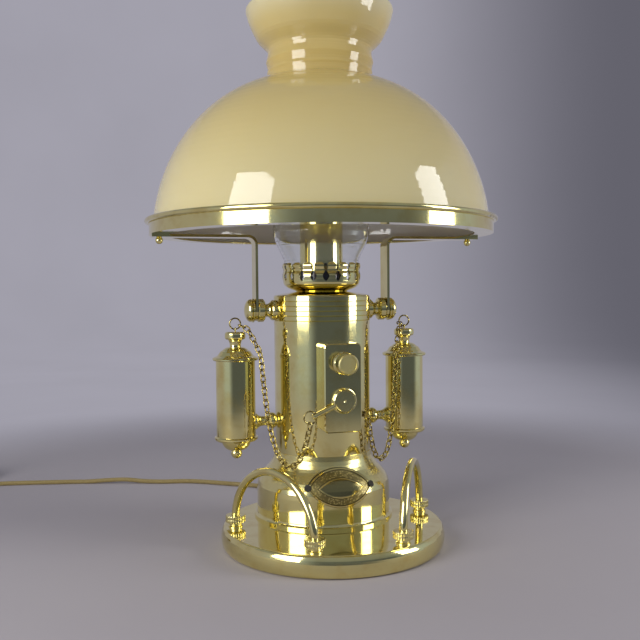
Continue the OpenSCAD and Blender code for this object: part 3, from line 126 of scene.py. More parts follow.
def coil_point(turn):
    """A point of the coil: two turns side by side in a layer, then a step up onto the next layer."""
    part = turn % 4
    radius = COIL_R + COIL_PITCH * (1 - part if part < 2 else part - 3)
    layer = max(floor((turn - 1) / 2), 0)
    climb = min(max((turn - 1 - 2 * layer - 0.75) * 2, 0), 1) + layer if turn >= 1 else 0
    angle = radians(-90) - 2 * pi * turn
    return COIL_AT + Vector((radius * cos(angle), radius * sin(angle), COIL_LAYER * climb))


COIL_STEPS = 36
coil_line = [coil_point(i / COIL_STEPS) for i in range(int(COIL_TURNS * COIL_STEPS) + 1)]
plug_line = smooth_line([coil_line[-1] + Vector(step) for step in TO_PLUG], 3)
cord_line = smooth_line(ALONG_TABLE, 5) + coil_line + plug_line
cord_length = sum((b - a).length for a, b in zip(cord_line, cord_line[1:]))
print("cord:", len(cord_line), "points,", round(cord_length, 3), "m")

# %% [markdown]
# ## The cord itself
# The real cord is flex in a fine woven sleeve of old gold. A curve with a round section gives the
# tube at once. It is then made a mesh, so that each point can carry how far along the cord it is and
# where round it: the weave of the sleeve follows those two numbers.

# %% Cord
CORD_SIDES = 16


def link(piece):
    """Put a new object into the scene."""
    scene.collection.objects.link(piece)
    return piece


def tube_along(name, line, radius, sides):
    """A round tube along a line. Its attribute 'lay' holds length along, cosine and sine around."""
    curve = bpy.data.curves.new(name + "_line", "CURVE")
    curve.dimensions = "3D"
    curve.bevel_depth = radius
    curve.bevel_resolution = sides // 2 - 2
    curve.use_fill_caps = True
    spline = curve.splines.new("POLY")
    spline.points.add(len(line) - 1)
    for knot, place in zip(spline.points, line):
        knot.co = (*place, 1)
    drawn = link(bpy.data.objects.new(name + "_line", curve))
    bpy.context.view_layer.update()
    mesh = bpy.data.meshes.new_from_object(drawn)
    bpy.data.objects.remove(drawn)
    mesh.name = name
    around = len(mesh.vertices) // len(line)
    lay = mesh.attributes.new("lay", "FLOAT_VECTOR", "POINT")
    along = 0
    for i, place in enumerate(line):
        along += (place - line[i - 1]).length if i else 0
        for k in range(around):
            turn = 2 * pi * k / around
            lay.data[i * around + k].vector = (along, cos(turn), sin(turn))
    for face in mesh.polygons:
        face.use_smooth = True
    print(name, "points round:", around, "left over:", len(mesh.vertices) - around * len(line))
    return link(bpy.data.objects.new(name, mesh))


cord = tube_along("cord", cord_line, CORD_D / 2, CORD_SIDES)

# %% [markdown]
# ## The strain relief
# Where the cord leaves the base, the real lamp has a soft tapered sleeve with grooves, so that it
# bends in a long curve. It is turned here: one outline, spun once round the cord's line. A lathe
# shape could also be a Screw modifier, but a spin leaves a finished mesh.

# %% Strain relief
RELIEF_FROM, RELIEF_L, RELIEF_Z = 0.0675, 0.0245, 0.0086


def spun(name, outline, centre, axis, steps=64):
    """A turned piece: the outline, given as (radius, along) in metres, spun about an axis."""
    axis = Vector(axis)
    side = axis.orthogonal().normalized()
    shape = bmesh.new()
    ring = [shape.verts.new(Vector(centre) + side * r + axis * h) for r, h in outline]
    edges = [shape.edges.new(pair) for pair in zip(ring, ring[1:])]
    bmesh.ops.spin(
        shape, geom=ring + edges, cent=centre, axis=axis, dvec=(0, 0, 0),
        angle=2 * pi, steps=steps, use_merge=True, use_duplicate=False,
    )
    return finished(name, shape)


def finished(name, shape, sharp=35):
    """Close a bmesh into an object: doubles merged, faces outwards, smooth but for sharp edges."""
    bmesh.ops.remove_doubles(shape, verts=shape.verts, dist=1e-6)
    bmesh.ops.recalc_face_normals(shape, faces=shape.faces)
    for face in shape.faces:
        face.smooth = True
    for edge in shape.edges:
        edge.smooth = edge.calc_face_angle(0) < radians(sharp)
    mesh = bpy.data.meshes.new(name)
    shape.to_mesh(mesh)
    shape.free()
    return link(bpy.data.objects.new(name, mesh))


relief_outline = [(0.0023, 0), (0.0042, 0), (0.0042, 0.0016), (0.0037, 0.003)]
for i in range(6):
    start = 0.0046 + 0.0029 * i
    wide = 0.00362 - 0.00013 * i
    relief_outline += [
        (wide, start), (wide - 0.0006, start + 0.0004),
        (wide - 0.0006, start + 0.0012), (wide - 0.0001, start + 0.0016),
    ]
relief_outline += [(0.0027, RELIEF_L - 0.0004), (0.0025, RELIEF_L), (0.0023, RELIEF_L)]
relief = spun("cord_sleeve_taper", relief_outline, (0, RELIEF_FROM, RELIEF_Z), (0, 1, 0), 40)
print("strain relief faces:", len(relief.data.polygons))

# %% [markdown]
# ## The plug
# The photograph does not show the plug, so it is a plain moulded two-pin one. It starts as a cube,
# its front face is pulled out and shrunk towards the cord, and its edges are rounded with a bevel.
# Grip ribs on both sides are small bevelled bars. The pins stay those of the CAD model.

# %% Plug
PLUG_AT = Vector((-0.381875, 0.3628, 0.0069))


def block(shape, size, middle, round_by=0, segments=3):
    """A cube of that size with rounded edges, added to a bmesh."""
    cube = bmesh.ops.create_cube(shape, size=1)["verts"]
    bmesh.ops.scale(shape, vec=size, verts=cube)
    bmesh.ops.translate(shape, vec=middle, verts=cube)
    if round_by:
        edges = list({edge for vert in cube for edge in vert.link_edges})
        bmesh.ops.bevel(
            shape, geom=edges, offset=round_by, offset_type="OFFSET", segments=segments,
            profile=0.5, affect="EDGES", material=-1,
        )
    return cube


plug_shape = bmesh.new()
block(plug_shape, (0.030, 0.018, 0.0126), PLUG_AT + Vector((0, 0.029, 0)))
front = min(plug_shape.faces, key=lambda face: face.calc_center_median().y)
for forward, width, height in ((0.004, 0.86, 0.96), (0.007, 0.5, 0.85), (0.0088, 0.75, 0.9)):
    pulled = bmesh.ops.extrude_discrete_faces(plug_shape, faces=[front])["faces"]
    front = pulled[0]
    bmesh.ops.translate(plug_shape, vec=(0, -forward, 0), verts=front.verts)
    bmesh.ops.scale(
        plug_shape, vec=(width, 1, height), verts=front.verts,
        space=Matrix.Translation(-front.calc_center_median()),
    )
bmesh.ops.remove_doubles(plug_shape, verts=plug_shape.verts, dist=1e-6)
bmesh.ops.bevel(
    plug_shape, geom=list(plug_shape.edges), offset=0.0021, offset_type="OFFSET", segments=4,
    profile=0.5, affect="EDGES", material=-1, clamp_overlap=True,
)
for side in (-1, 1):
    for i in range(4):
        block(
            plug_shape, (0.017, 0.0012, 0.0012),
            PLUG_AT + Vector((0, 0.0235 + 0.003 * i, side * 0.0063)), 0.0005, 2,
        )
plug = finished("plug_moulding", plug_shape)
print("plug faces:", len(plug.data.polygons))

# %% [markdown]
# ## Knurled collars
# Each foot of the two guard rails stands in a short collar with a knurled rim, so that fingers can
# tighten it. The CAD collars are smooth. A knurl is a ring of small flutes: the collar is spun with
# two steps for each flute, and every second row of its rim is drawn in towards the axis.

# %% Collars
FLUTES = 30
DISC_Y, TOP_OF_BASE, FOOT_R = -0.0295, 0.0182, 0.083
COLLAR_OUTLINE = [
    (0.00342, 0), (0.0059, 0), (0.0059, 0.0009), (0.0052, 0.0014), (0.0052, 0.0037),
    (0.0062, 0.0042), (0.0079, 0.0042), (0.00825, 0.0046), (0.00825, 0.0066), (0.0079, 0.0069),
    (0.0079, 0.0073), (0.00825, 0.0076), (0.00825, 0.0094), (0.0079, 0.0098), (0.0046, 0.01),
    (0.00342, 0.0098), (0.00342, 0),
]
feet = [
    Vector((side * FOOT_R * cos(angle), DISC_Y + FOOT_R * sin(angle), TOP_OF_BASE))
    for side in (-1, 1)
    for angle in (radians(5), radians(-64.5))
]


def collar(shape, foot):
    """One collar round a rail's foot, its rim fluted."""
    part = bmesh.new()
    rows = [part.verts.new(foot + Vector((r, 0, h))) for r, h in COLLAR_OUTLINE[:-1]]
    edges = [part.edges.new(pair) for pair in zip(rows, rows[1:] + rows[:1])]
    bmesh.ops.spin(
        part, geom=rows + edges, cent=foot, axis=(0, 0, 1), dvec=(0, 0, 0),
        angle=2 * pi, steps=2 * FLUTES, use_merge=True, use_duplicate=False,
    )
    bmesh.ops.remove_doubles(part, verts=part.verts, dist=1e-6)
    step = pi / FLUTES
    hollow = []
    for vert in part.verts:
        out = (vert.co - foot).to_2d()
        if out.length > 0.0081 and round(out.angle_signed(Vector((1, 0))) / step) % 2:
            hollow.append(vert)
    bmesh.ops.scale(part, vec=(0.945, 0.945, 1), verts=hollow, space=Matrix.Translation(-foot))
    mesh = bpy.data.meshes.new("collar_part")
    part.to_mesh(mesh)
    part.free()
    shape.from_mesh(mesh)
    bpy.data.meshes.remove(mesh)


collar_shape = bmesh.new()
for foot in feet:
    collar(collar_shape, foot)
collars = finished("knurled_collars", collar_shape, sharp=28)
print("collar faces:", len(collars.data.polygons))

# %% [markdown]
# ## The pronged crown
# The crown that grips the chimney is pressed from thin sheet: a bowl below, and above it a wreath of
# springy prongs that wave in and out, with keyhole gaps between. The CAD crown has straight slots.
# Cutting keyholes with a boolean would leave ragged shading. So one prong is lofted instead, loop
# on loop, each loop as wide as the gap leaves it, and the loops below the gaps join their neighbours.

# %% Crown
PRONGS, SHEET = 20, 0.0009
CROWN_Z, CROWN_H = 0.2144, 0.0249
CROWN_SIDE = [  # share of the height, radius, half of the gap between two prongs
    (0, 0.0223, 0), (0.03, 0.0232, 0), (0.07, 0.0262, 0), (0.12, 0.0293, 0), (0.18, 0.0317, 0),
    (0.25, 0.0332, 0), (0.31, 0.0337, 0), (0.35, 0.03385, 0), (0.385, 0.0339, 0.0008),
    (0.43, 0.034, 0.0018), (0.5, 0.03425, 0.0026), (0.57, 0.0343, 0.0027), (0.65, 0.034, 0.0016),
    (0.71, 0.0336, 0.0011), (0.77, 0.0336, 0.0014), (0.84, 0.0342, 0.0019), (0.9, 0.0344, 0.0017),
    (0.95, 0.0342, 0.002), (0.985, 0.0338, 0.0028), (1, 0.0336, 0.0036),
]


def prong(shape, angle):
    """One prong and its share of the bowl, as loops of points laid on each other."""
    loops = []
    for point in smooth_line(CROWN_SIDE, 3):
        share, radius, gap = point
        half = pi / PRONGS - max(gap, 0) / radius
        across = [angle + half * (j / 3 - 1) for j in range(7)]
        ring = [(radius, a) for a in across] + [(radius - SHEET, a) for a in reversed(across)]
        height = CROWN_Z + CROWN_H * share
        loops.append((gap, [shape.verts.new((r * cos(a), r * sin(a), height)) for r, a in ring]))
    for (low_gap, low), (high_gap, high) in zip(loops, loops[1:]):
        for k in range(14):
            if k % 7 == 6 and high_gap < 1e-6:
                continue
            n = (k + 1) % 14
            shape.faces.new((low[k], low[n], high[n], high[k]))
    shape.faces.new(loops[-1][1])
    shape.faces.new(reversed(loops[0][1]))


crown_shape = bmesh.new()
for i in range(PRONGS):
    prong(crown_shape, 2 * pi * i / PRONGS)
CROWN_FLOOR = [
    (0.01915, 0.2146), (0.0215, 0.2146), (0.0215, 0.2212), (0.0323, 0.2212), (0.0323, 0.2222),
    (0.01915, 0.2222),
]
rows = [crown_shape.verts.new((r, 0, h)) for r, h in CROWN_FLOOR]
edges = [crown_shape.edges.new(pair) for pair in zip(rows, rows[1:] + rows[:1])]
bmesh.ops.spin(
    crown_shape, geom=rows + edges, cent=(0, 0, 0), axis=(0, 0, 1), dvec=(0, 0, 0),
    angle=2 * pi, steps=60, use_merge=True, use_duplicate=False,
)
crown = finished("pronged_crown", crown_shape, sharp=40)
print("crown faces:", len(crown.data.polygons))

# %% [markdown]
# ## The chain that moves with the lever
# The left chain hangs from the lid of its canister to the ring of the lever. Its links are right in
# the CAD model, so a copy of them is taken and its doubles are merged.

# %% Left chain
chain_mesh = nodes["chain_left"].data.copy()
chain_shape = bmesh.new()
chain_shape.from_mesh(chain_mesh)
bpy.data.meshes.remove(chain_mesh)
chain = finished("lever_chain", chain_shape, sharp=50)
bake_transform(chain)
print("chain faces:", len(chain.data.polygons))

# %% [markdown]
# ## A helper for finishes
# A finish is a small network of nodes. Written node by node it hides the idea, so a Reading wraps
# one number that varies over the surface, and plain sums on it add the Math nodes. Every other node
# comes from one method, which takes its kind, its settings and the values of its sockets.

# %% Finish and Reading
def maths(operation, first, *others):
    """Add one Math node for a sum on readings and numbers."""
    readings = [v for v in (first, *others) if isinstance(v, Reading)]
    values = dict(enumerate((first, *others)))
    return readings[0].finish.add("Math", {"operation": operation}, values)


class Reading:
    """One number, colour or vector that varies over a surface."""

    def __init__(self, finish, socket):
        self.finish = finish
        self.socket = socket

    def __add__(self, other):
        return maths("ADD", self, other)

    def __radd__(self, other):
        return maths("ADD", other, self)

    def __sub__(self, other):
        return maths("SUBTRACT", self, other)

    def __rsub__(self, other):
        return maths("SUBTRACT", other, self)

    def __mul__(self, other):
        return maths("MULTIPLY", self, other)

    def __rmul__(self, other):
        return maths("MULTIPLY", other, self)

    def __truediv__(self, other):
        return maths("DIVIDE", self, other)

    def __rtruediv__(self, other):
        return maths("DIVIDE", other, self)

    def __abs__(self):
        return maths("ABSOLUTE", self)


class Finish:
    """A material while it is built up."""

    def __init__(self, name):
        self.material = bpy.data.materials.new(name)
        self.material.use_nodes = True
        self.tree = self.material.node_tree
        self.tree.nodes.clear()

    def add(self, kind, settings=None, values=None, output=0):
        """Add any node: its kind, its settings, its sockets' values or links, the output to take."""
        node = self.tree.nodes.new("ShaderNode" + kind)
        for name, value in (settings or {}).items():
            setattr(node, name, value)
        for place, value in (values or {}).items():
            if isinstance(value, Reading):
                self.tree.links.new(value.socket, node.inputs[place])
            else:
                node.inputs[place].default_value = value
        if isinstance(output, tuple):
            return tuple(Reading(self, node.outputs[one]) for one in output)
        return Reading(self, node.outputs[output])

    def place(self, centre=(0, 0, 0), turn=(0, 0, 0)):
        """Coordinates in the piece's own frame, as a vector and its three numbers."""
        here = self.add("TexCoord", output="Object")
        local = self.add(
            "Mapping", {"vector_type": "TEXTURE"},
            {"Vector": here, "Location": centre, "Rotation": turn},
        )
        return local, *self.add("SeparateXYZ", {}, {0: local}, ("X", "Y", "Z"))

    def noise(self, where, scale, detail=2, rough=0.5):
        """Soft noise from 0 to 1."""
        values = {"Vector": where, "Scale": scale, "Detail": detail, "Roughness": rough}
        return self.add("TexNoise", {}, values, "Fac")

    def ramp(self, value, low, high, start=0, end=1):
        """A soft step from start to end, as value goes from low to high."""
        values = {"Value": value, "From Min": low, "From Max": high, "To Min": start, "To Max": end}
        return self.add("MapRange", {"interpolation_type": "SMOOTHSTEP"}, values, "Result")

    def mix(self, mask, first, second):
        """One colour over another by a mask."""
        return self.add("Mix", {"data_type": "RGBA"}, {0: mask, 6: first, 7: second}, 2)

    def bump(self, height):
        """The surface's normal over a height in metres."""
        return self.add("Bump", {}, {"Height": height, "Strength": 1, "Distance": 1}, "Normal")

    def surface(self, values):
        """End with the surface shader and give the material."""
        shader = self.add("BsdfPrincipled", {}, values)
        self.add_output(shader)
        return self.material

    def add_output(self, shader):
        """Link a shader to the material's output."""
        end = self.tree.nodes.new("ShaderNodeOutputMaterial")
        self.tree.links.new(shader.socket, end.inputs["Surface"])


def colour(red, green, blue):
    """A colour as a screen shows it, 0 to 255, in Blender's own numbers."""
    shares = [c / 255 for c in (red, green, blue)]
    return (*(c / 12.92 if c <= 0.04045 else ((c + 0.055) / 1.055) ** 2.4 for c in shares), 1)


print("finish helper ready")

# %% [markdown]
# ## Polished brass
# The real brass is buffed to a mirror, and the turned pieces still show rings from the lathe. A
# flat metal colour would look like plastic foil. So the finish has three layers: soft waves left by
# the buffing wheel, fine rings about the piece's own axis, and a lacquer that is cloudier in places,
# over a colour that deepens a little where the metal was handled.

# %% Brass finishes
BRASS = colour(236, 224, 154)
BRASS_DEEP = colour(216, 192, 108)
LYING_X, LYING_Y = (0, radians(90), 0), (radians(90), 0, 0)


def polished_brass(
    name, centre=(0, 0, 0), turn=(0, 0, 0), rings=1.0, shine=0.06, waves=1.0,
    satin_from=9.0, satin_over=0.0002, satin=0.34, shade_painted_below=-9.0
):
    """Buffed brass with lathe rings about the axis through centre, satin past a place, and dark with painted
    shade below one.
    """
    finish = Finish(name)
    where, x, y, z = finish.place(centre, turn)
    radius = maths("SQRT", x * x + y * y)
    lathe = finish.add("CombineXYZ", {}, {0: radius, 2: z})
    fine = finish.noise(lathe, 1400, 2)
    broad = finish.noise(lathe, 160, 1)
    buffed = finish.noise(where, 22, 1)
    cloud = finish.noise(where, 55, 3, 0.6)
    worn = finish.ramp(cloud, 0.42, 0.72)
    dulled = finish.ramp(abs(z), satin_from, satin_from + satin_over)
    height = fine * (0.6e-6 * rings) + broad * (3e-6 * rings) + buffed * (30e-6 * waves)
    # Painted shade: below a given height the colour turns dark brown and the surface rougher.
    painted_shade = finish.ramp(z, shade_painted_below, shade_painted_below + 0.0025, 1, 0)
    clean = finish.mix(worn * 0.55, BRASS, BRASS_DEEP)
    return finish.surface({
        "Base Color": finish.mix(painted_shade, clean, colour(58, 40, 20)),
        "Metallic": 1.0,
        "Roughness": worn * 0.05 + fine * (0.03 * rings) + dulled * satin + painted_shade * 0.4 + shine,
        "Coat Weight": 0.35,
        "Coat Roughness": 0.05,
        "Normal": finish.bump(height),
    })


brass_column = polished_brass("brass_turned_column")
brass_disc = polished_brass("brass_turned_disc", (0, DISC_Y, 0), waves=0.7)
brass_canister_left = polished_brass("brass_canister_left", (-0.0775, 0, 0))
brass_canister_right = polished_brass("brass_canister_right", (0.0775, 0, 0))
brass_bracket = polished_brass("brass_bracket", (0, 0, 0.1022), LYING_X, waves=0.6)
brass_pivot = polished_brass("brass_pivot", (0, 0, 0.1985), LYING_X, waves=0.6)
brass_knob = polished_brass("brass_dimmer_knob", (0, 0, 0.1565), LYING_Y, rings=2, satin_from=0.0787)
brass_hub = polished_brass("brass_lever_hub", (0, 0, 0.126), LYING_Y, rings=2.5, shine=0.1)
brass_gland = polished_brass("brass_gland", (0, 0, RELIEF_Z), LYING_Y)
brass_drawn = polished_brass("brass_drawn_rod", rings=0, waves=0.5)
brass_bell = polished_brass("brass_bell", satin_from=0.043, satin_over=0.012, satin=0.14)
brass_knurled = polished_brass("brass_knurled", rings=0, shine=0.26, waves=0.3)
# The foot of the burner tube carries painted shade, so the inside of the crown looks dark through its
# keyholes.
brass_burner = polished_brass("brass_burner_tube", shade_painted_below=0.2312)
brass_flat = polished_brass("brass_lapped_plate", rings=0, shine=0.08, waves=0.8)
print("brass finishes:", len([m for m in bpy.data.materials if m.name.startswith("brass")]))

# %% [markdown]
# ## Chain brass
# The small links are not buffed one by one. They keep a browner skin, bright only where they rub,
# so the colour is mixed by a finer noise and the surface is rougher.

# %% Chain finish
def chain_brass(name):
    """Brass links with a brown skin and rubbed spots."""
    finish = Finish(name)
    where, x, y, z = finish.place()
    spots = finish.noise(where, 420, 3, 0.6)
    rubbed = finish.ramp(spots, 0.4, 0.66)
    return finish.surface({
        "Base Color": finish.mix(rubbed, colour(120, 100, 52), colour(222, 206, 130)),
        "Metallic": 1.0,
        "Roughness": 0.3 - rubbed * 0.17,
        "Coat Weight": 0.2,
        "Coat Roughness": 0.1,
        "Normal": finish.bump(spots * 20e-6),
    })


brass_links = chain_brass("brass_links")
print("chain finish:", brass_links.name)

# %% [markdown]
# ## The name plate
# The plate is a pressed brass oval with two points: a smooth sunken field inside a matted band.
# Nothing is written on it. The matting is a field of fine dimples with dark wax left in them, and
# the rims are bright. The dark lines at the outer edge and at the foot of each rim are partly wax and
# partly painted shade in those creases, and the sunken field is darkened by a painted reflection.
# The masks follow the same two arcs as the plate's own outline.

# %% Plate finish
PLATE_Z = 0.0522


def inside_oval(finish, x, z, half_l, half_h):
    """How far inside a pointed oval a place is, in metres: it is drawn by two crossing arcs."""
    arc_r = (half_l ** 2 + half_h ** 2) / (2 * half_h)
    up = abs(z) + (arc_r - half_h)
    return arc_r - maths("SQRT", x * x + up * up)


def plate_brass(name):
    """Pressed brass with a matted band between two bright rims, painted shade in its creases and a painted
    dark reflection in its field.
    """
    finish = Finish(name)
    where, x, y, z = finish.place((0, 0, PLATE_Z))
    outer = inside_oval(finish, x, z, 0.0285, 0.01525)
    inner = inside_oval(finish, x, z, 0.019, 0.0075)
    band = finish.ramp(outer, 0.0013, 0.0017) * finish.ramp(inner, -0.0001, 0.0002, 1, 0)
    field = finish.ramp(inner, 0.0008, 0.0012)
    dimples = finish.add(
        "TexVoronoi", {"feature": "F1"}, {"Vector": where, "Scale": 620}, "Distance"
    )
    # Painted shade, partly wax: dark lines at the outer edge and at the foot of each rim.
    edge = finish.ramp(outer, 0.0002, 0.0005, 1, 0)
    foot_of_rim = finish.ramp(outer, 0.0013, 0.0015) * finish.ramp(outer, 0.0021, 0.0026, 1, 0)
    foot_of_oval = finish.ramp(inner, -0.0009, -0.0005) * finish.ramp(inner, -0.0001, 0.0001, 1, 0)
    wax_and_shade_lines = maths("MAXIMUM", maths("MAXIMUM", foot_of_rim, foot_of_oval), edge)
    wax_and_painted_shade = maths("MAXIMUM", finish.ramp(dimples, 0.1, 0.5) * band * 0.8, wax_and_shade_lines)
    cloud = finish.noise(where, 300, 3, 0.6)
    # Painted reflection: the sunken field is coloured dark, as if it mirrored a dark room.
    metal_with_painted_dark_field = finish.mix(field * 0.8, colour(232, 212, 136), colour(112, 108, 72))
    return finish.surface({
        "Base Color": finish.mix(wax_and_painted_shade * 0.9, metal_with_painted_dark_field, colour(52, 44, 24)),
        "Metallic": 1.0,
        "Roughness": band * 0.25 + wax_and_shade_lines * 0.2 + cloud * 0.08 + 0.1,
        "Coat Weight": 0.2,
        "Coat Roughness": 0.1,
        "Normal": finish.bump(dimples * band * -90e-6 + cloud * 6e-6),
    })


brass_plate = plate_brass("brass_pressed_plate")
print("plate finish:", brass_plate.name)

# %% [markdown]
# ## Opal glass
# The shade is cased glass: opal inside, a thin skin of tan outside. Its colour is lighter at the foot
# and deeper higher up, less deep at the neck and paler at the lip, with faint clouds. The surface is
# glossy and has the slow waves of blown glass, which bend the reflections of the lamps a little.

# %% Opal finish
def opal_glass(name):
    """Cased opal glass, paler at the foot of the dome."""
    finish = Finish(name)
    where, x, y, z = finish.place()
    clouds = finish.noise(where, 7, 2)
    high = finish.ramp(z, 0.262, 0.400)
    neck = finish.ramp(z, 0.405, 0.455)
    lip = finish.ramp(z, 0.438, 0.458)
    deep = high * 0.85 + (clouds - 0.5) * 0.3 - neck * 0.35
    swirls = finish.noise(where, 9, 1)
    normal = finish.add("TexCoord", output="Normal")
    out_x, out_y, up = finish.add("SeparateXYZ", {}, {0: normal}, ("X", "Y", "Z"))
    inside = finish.ramp(out_x * x + out_y * y, -0.002, 0.0, 1, 0)
    skin = finish.mix(deep, colour(228, 213, 161), colour(202, 173, 97))
    skin = finish.mix(lip * 0.7, skin, colour(222, 212, 176))
    return finish.surface({
        "Base Color": finish.mix(inside, skin, colour(236, 228, 214)),
        "Subsurface Weight": 0.35,
        "Subsurface Radius": (0.02, 0.017, 0.012),
        "Subsurface Scale": 1.0,
        "Roughness": 0.05,
        "IOR": 1.52,
        "Coat Weight": 0.3,
        "Coat Roughness": 0.02,
        "Normal": finish.bump(swirls * 120e-6),
    })


opal = opal_glass("opal_glass")
print("opal finish:", opal.name)

# %% [markdown]
# ## Clear glass
# Chimney and bulb are thin clear glass with two real faces, so light is bent twice as in the real
# ones. Only the faint waves of drawn glass are added to the surface.

# %% Clear finishes
def clear_glass(name, tint, wave):
    """Thin clear glass with slow waves."""
    finish = Finish(name)
    where, x, y, z = finish.place()
    ripple = finish.noise(where, 30, 1)
    return finish.surface({
        "Base Color": finish.mix(ripple * 0.4, tint, (1, 1, 1, 1)),
        "Roughness": 0.0,
        "IOR": 1.47,
        "Transmission Weight": 1.0,
        "Normal": finish.bump(ripple * wave),
    })


chimney_glass = clear_glass("chimney_glass", (0.97, 0.99, 0.98, 1), 60e-6)
bulb_glass = clear_glass("bulb_glass", (0.99, 0.99, 0.97, 1), 10e-6)
print("clear glass:", chimney_glass.name, bulb_glass.name)

# %% [markdown]
# ## Sleeve of the cord
# Two families of threads run round the cord, one each way, and pass over and under each other.
# A picture of a weave could be wrapped round it, but two slanted waves along and round the cord
# make the same diamonds, and they follow every bend.

# %% Cord finish
THREADS, LAY_OF_THREAD = 10, 0.011


def woven_sleeve(name):
    """Old gold thread woven round a cord."""
    finish = Finish(name)
    lay = finish.add("Attribute", {"attribute_name": "lay"}, output="Vector")
    along, cosine, sine = finish.add("SeparateXYZ", {}, {0: lay}, ("X", "Y", "Z"))
    around = maths("ARCTAN2", sine, cosine)
    slant = along * (2 * pi * THREADS / LAY_OF_THREAD)
    left = maths("SINE", around * THREADS + slant)
    right = maths("SINE", around * THREADS - slant)
    weave = left * right
    where, x, y, z = finish.place()
    fuzz = finish.noise(where, 900, 2)
    tone = weave * 0.3 + fuzz * 0.8 - 0.05
    return finish.surface({
        "Base Color": finish.mix(tone, colour(122, 104, 56), colour(188, 168, 108)),
        "Roughness": 0.42 + fuzz * 0.15,
        "Sheen Weight": 0.3,
        "Sheen Roughness": 0.4,
        "Normal": finish.bump(weave * 70e-6 + fuzz * 20e-6),
    })


sleeve = woven_sleeve("woven_gold_sleeve")
print("cord finish:", sleeve.name)

# %% [markdown]
# ## The small plain finishes
# Moulded plastic has a fine grain, steel is dull grey with streaks, felt is fuzzy, china is white
# and glossy. Each is one colour in life, but none is one flat colour: a cloud and a grain are enough.

# %% Plain finishes
def plain(name, light, dark, rough, grain, scale, metal=0.0, coat=0.0, sheen=0.0):
    """A finish with a cloudy colour and a grain of that height and scale."""
    finish = Finish(name)
    where, x, y, z = finish.place()
    cloud = finish.noise(where, 60, 3)
    fine = finish.noise(where, scale, 3)
    return finish.surface({
        "Base Color": finish.mix(cloud * 0.6 + fine * 0.4, dark, light),
        "Metallic": metal,
        "Roughness": fine * 0.14 + rough,
        "Coat Weight": coat,
        "Sheen Weight": sheen,
        "Normal": finish.bump(fine * grain),
    })


moulded = plain("moulded_gold_plastic", colour(150, 130, 80), colour(120, 102, 60), 0.4, 18e-6, 2200)
black_plastic = plain("black_plastic", colour(38, 37, 36), colour(24, 23, 23), 0.4, 15e-6, 1800)
cast_steel = plain("painted_weight", colour(96, 96, 94), colour(70, 70, 69), 0.5, 60e-6, 500, 0.6)
green_felt = plain("green_felt", colour(54, 84, 58), colour(34, 58, 40), 0.9, 90e-6, 1500, sheen=0.6)
black_screw = plain("blackened_screw", colour(70, 66, 58), colour(30, 28, 26), 0.3, 10e-6, 1500, 0.8)
china = plain("white_china", colour(238, 234, 224), colour(224, 219, 206), 0.15, 8e-6, 300, coat=0.6)
nickel = plain("nickel_plate", colour(215, 212, 204), colour(186, 182, 172), 0.16, 6e-6, 800, 1.0)
red_wire = plain("wire_insulation", colour(150, 42, 34), colour(120, 30, 25), 0.35, 8e-6, 900)
print("plain finishes: 8")

# %% [markdown]
# ## Dress every piece
# A table from finish to pieces is easier to check than a line for each piece. A CAD node keeps its
# mesh and its place, and only its material slots are filled anew.

# %% Dress the CAD nodes
finish_of = {
    brass_bell: "bell",
    brass_column: "column_tube column_cap tie_rod tie_rod_nuts burner_crown shade_ring",
    brass_disc: "base_disc",
    brass_canister_left: "canister_left canister_foot_left canister_lid_left",
    brass_canister_right: "canister_right canister_foot_right canister_lid_right",
    brass_bracket: "bracket_left bracket_right",
    brass_pivot: "spool_left spool_right arm_knob_left arm_knob_right",
    brass_knob: "dimmer_knob",
    brass_hub: "lever_hub",
    brass_gland: "cord_gland",
    brass_drawn: "rail_left rail_right lever_rod rail_nuts column_nuts arm_screws",
    brass_knurled: "rail_collars",
    brass_burner: "burner_tube",
    brass_flat: "switch_box arm_left arm_right",
    brass_links: "chain_right lid_ring_left lid_ring_right lever_ring chain_eye chain_left",
    brass_plate: "name_plate",
    opal: "shade",
    chimney_glass: "chimney",
    bulb_glass: "bulb_glass",
    sleeve: "cord_run cord_coil cord_tail",
    moulded: "cord_relief plug_body",
    black_plastic: "dimmer_body switch_body",
    cast_steel: "base_weight",
    green_felt: "base_felt",
    black_screw: "plate_screws",
    china: "lampholder",
    nickel: "bulb_cap plug_pins",
    red_wire: "feed_wire lamp_wire",
}
dressed = set()
for material, names in finish_of.items():
    for name in names.split():
        for slot in nodes[name].material_slots:
            slot.material = material
        dressed.add(name)
print("dressed:", len(dressed), "left out:", sorted(set(nodes) - dressed))

# %% Dress the new pieces and tie all but the chain to the stand
new_pieces = (
    (cord, sleeve, "cord_sleeve", ("cord_run", "cord_coil", "cord_tail")),
    (relief, moulded, "cord_plastic", ("cord_relief",)),
    (plug, moulded, "cord_plastic", ("plug_body",)),
    (collars, brass_knurled, "polished_brass", ("rail_collars",)),
    (crown, brass_column, "polished_brass", ("burner_crown",)),
    (chain, brass_links, "polished_brass", ("chain_left",)),
)
for piece, material, slot_name, stands_for in new_pieces:
    piece.data.materials.clear()
    piece.data.materials.append(material)
    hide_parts(*stands_for)
    if piece is not chain:
        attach(piece, "stand")
print("new pieces:", [piece.name for piece, *rest in new_pieces])

# %% [markdown]
# ## Floor and backdrop
# A photographer's sweep is one sheet that runs along the table and curves up behind. Here it is
# spun all round the lamp as a wide bowl, so that every side of the lamp has a backdrop, and the
# polished brass mirrors it. Near the lamp it is plain matt paper, which keeps the lamp's shadow.

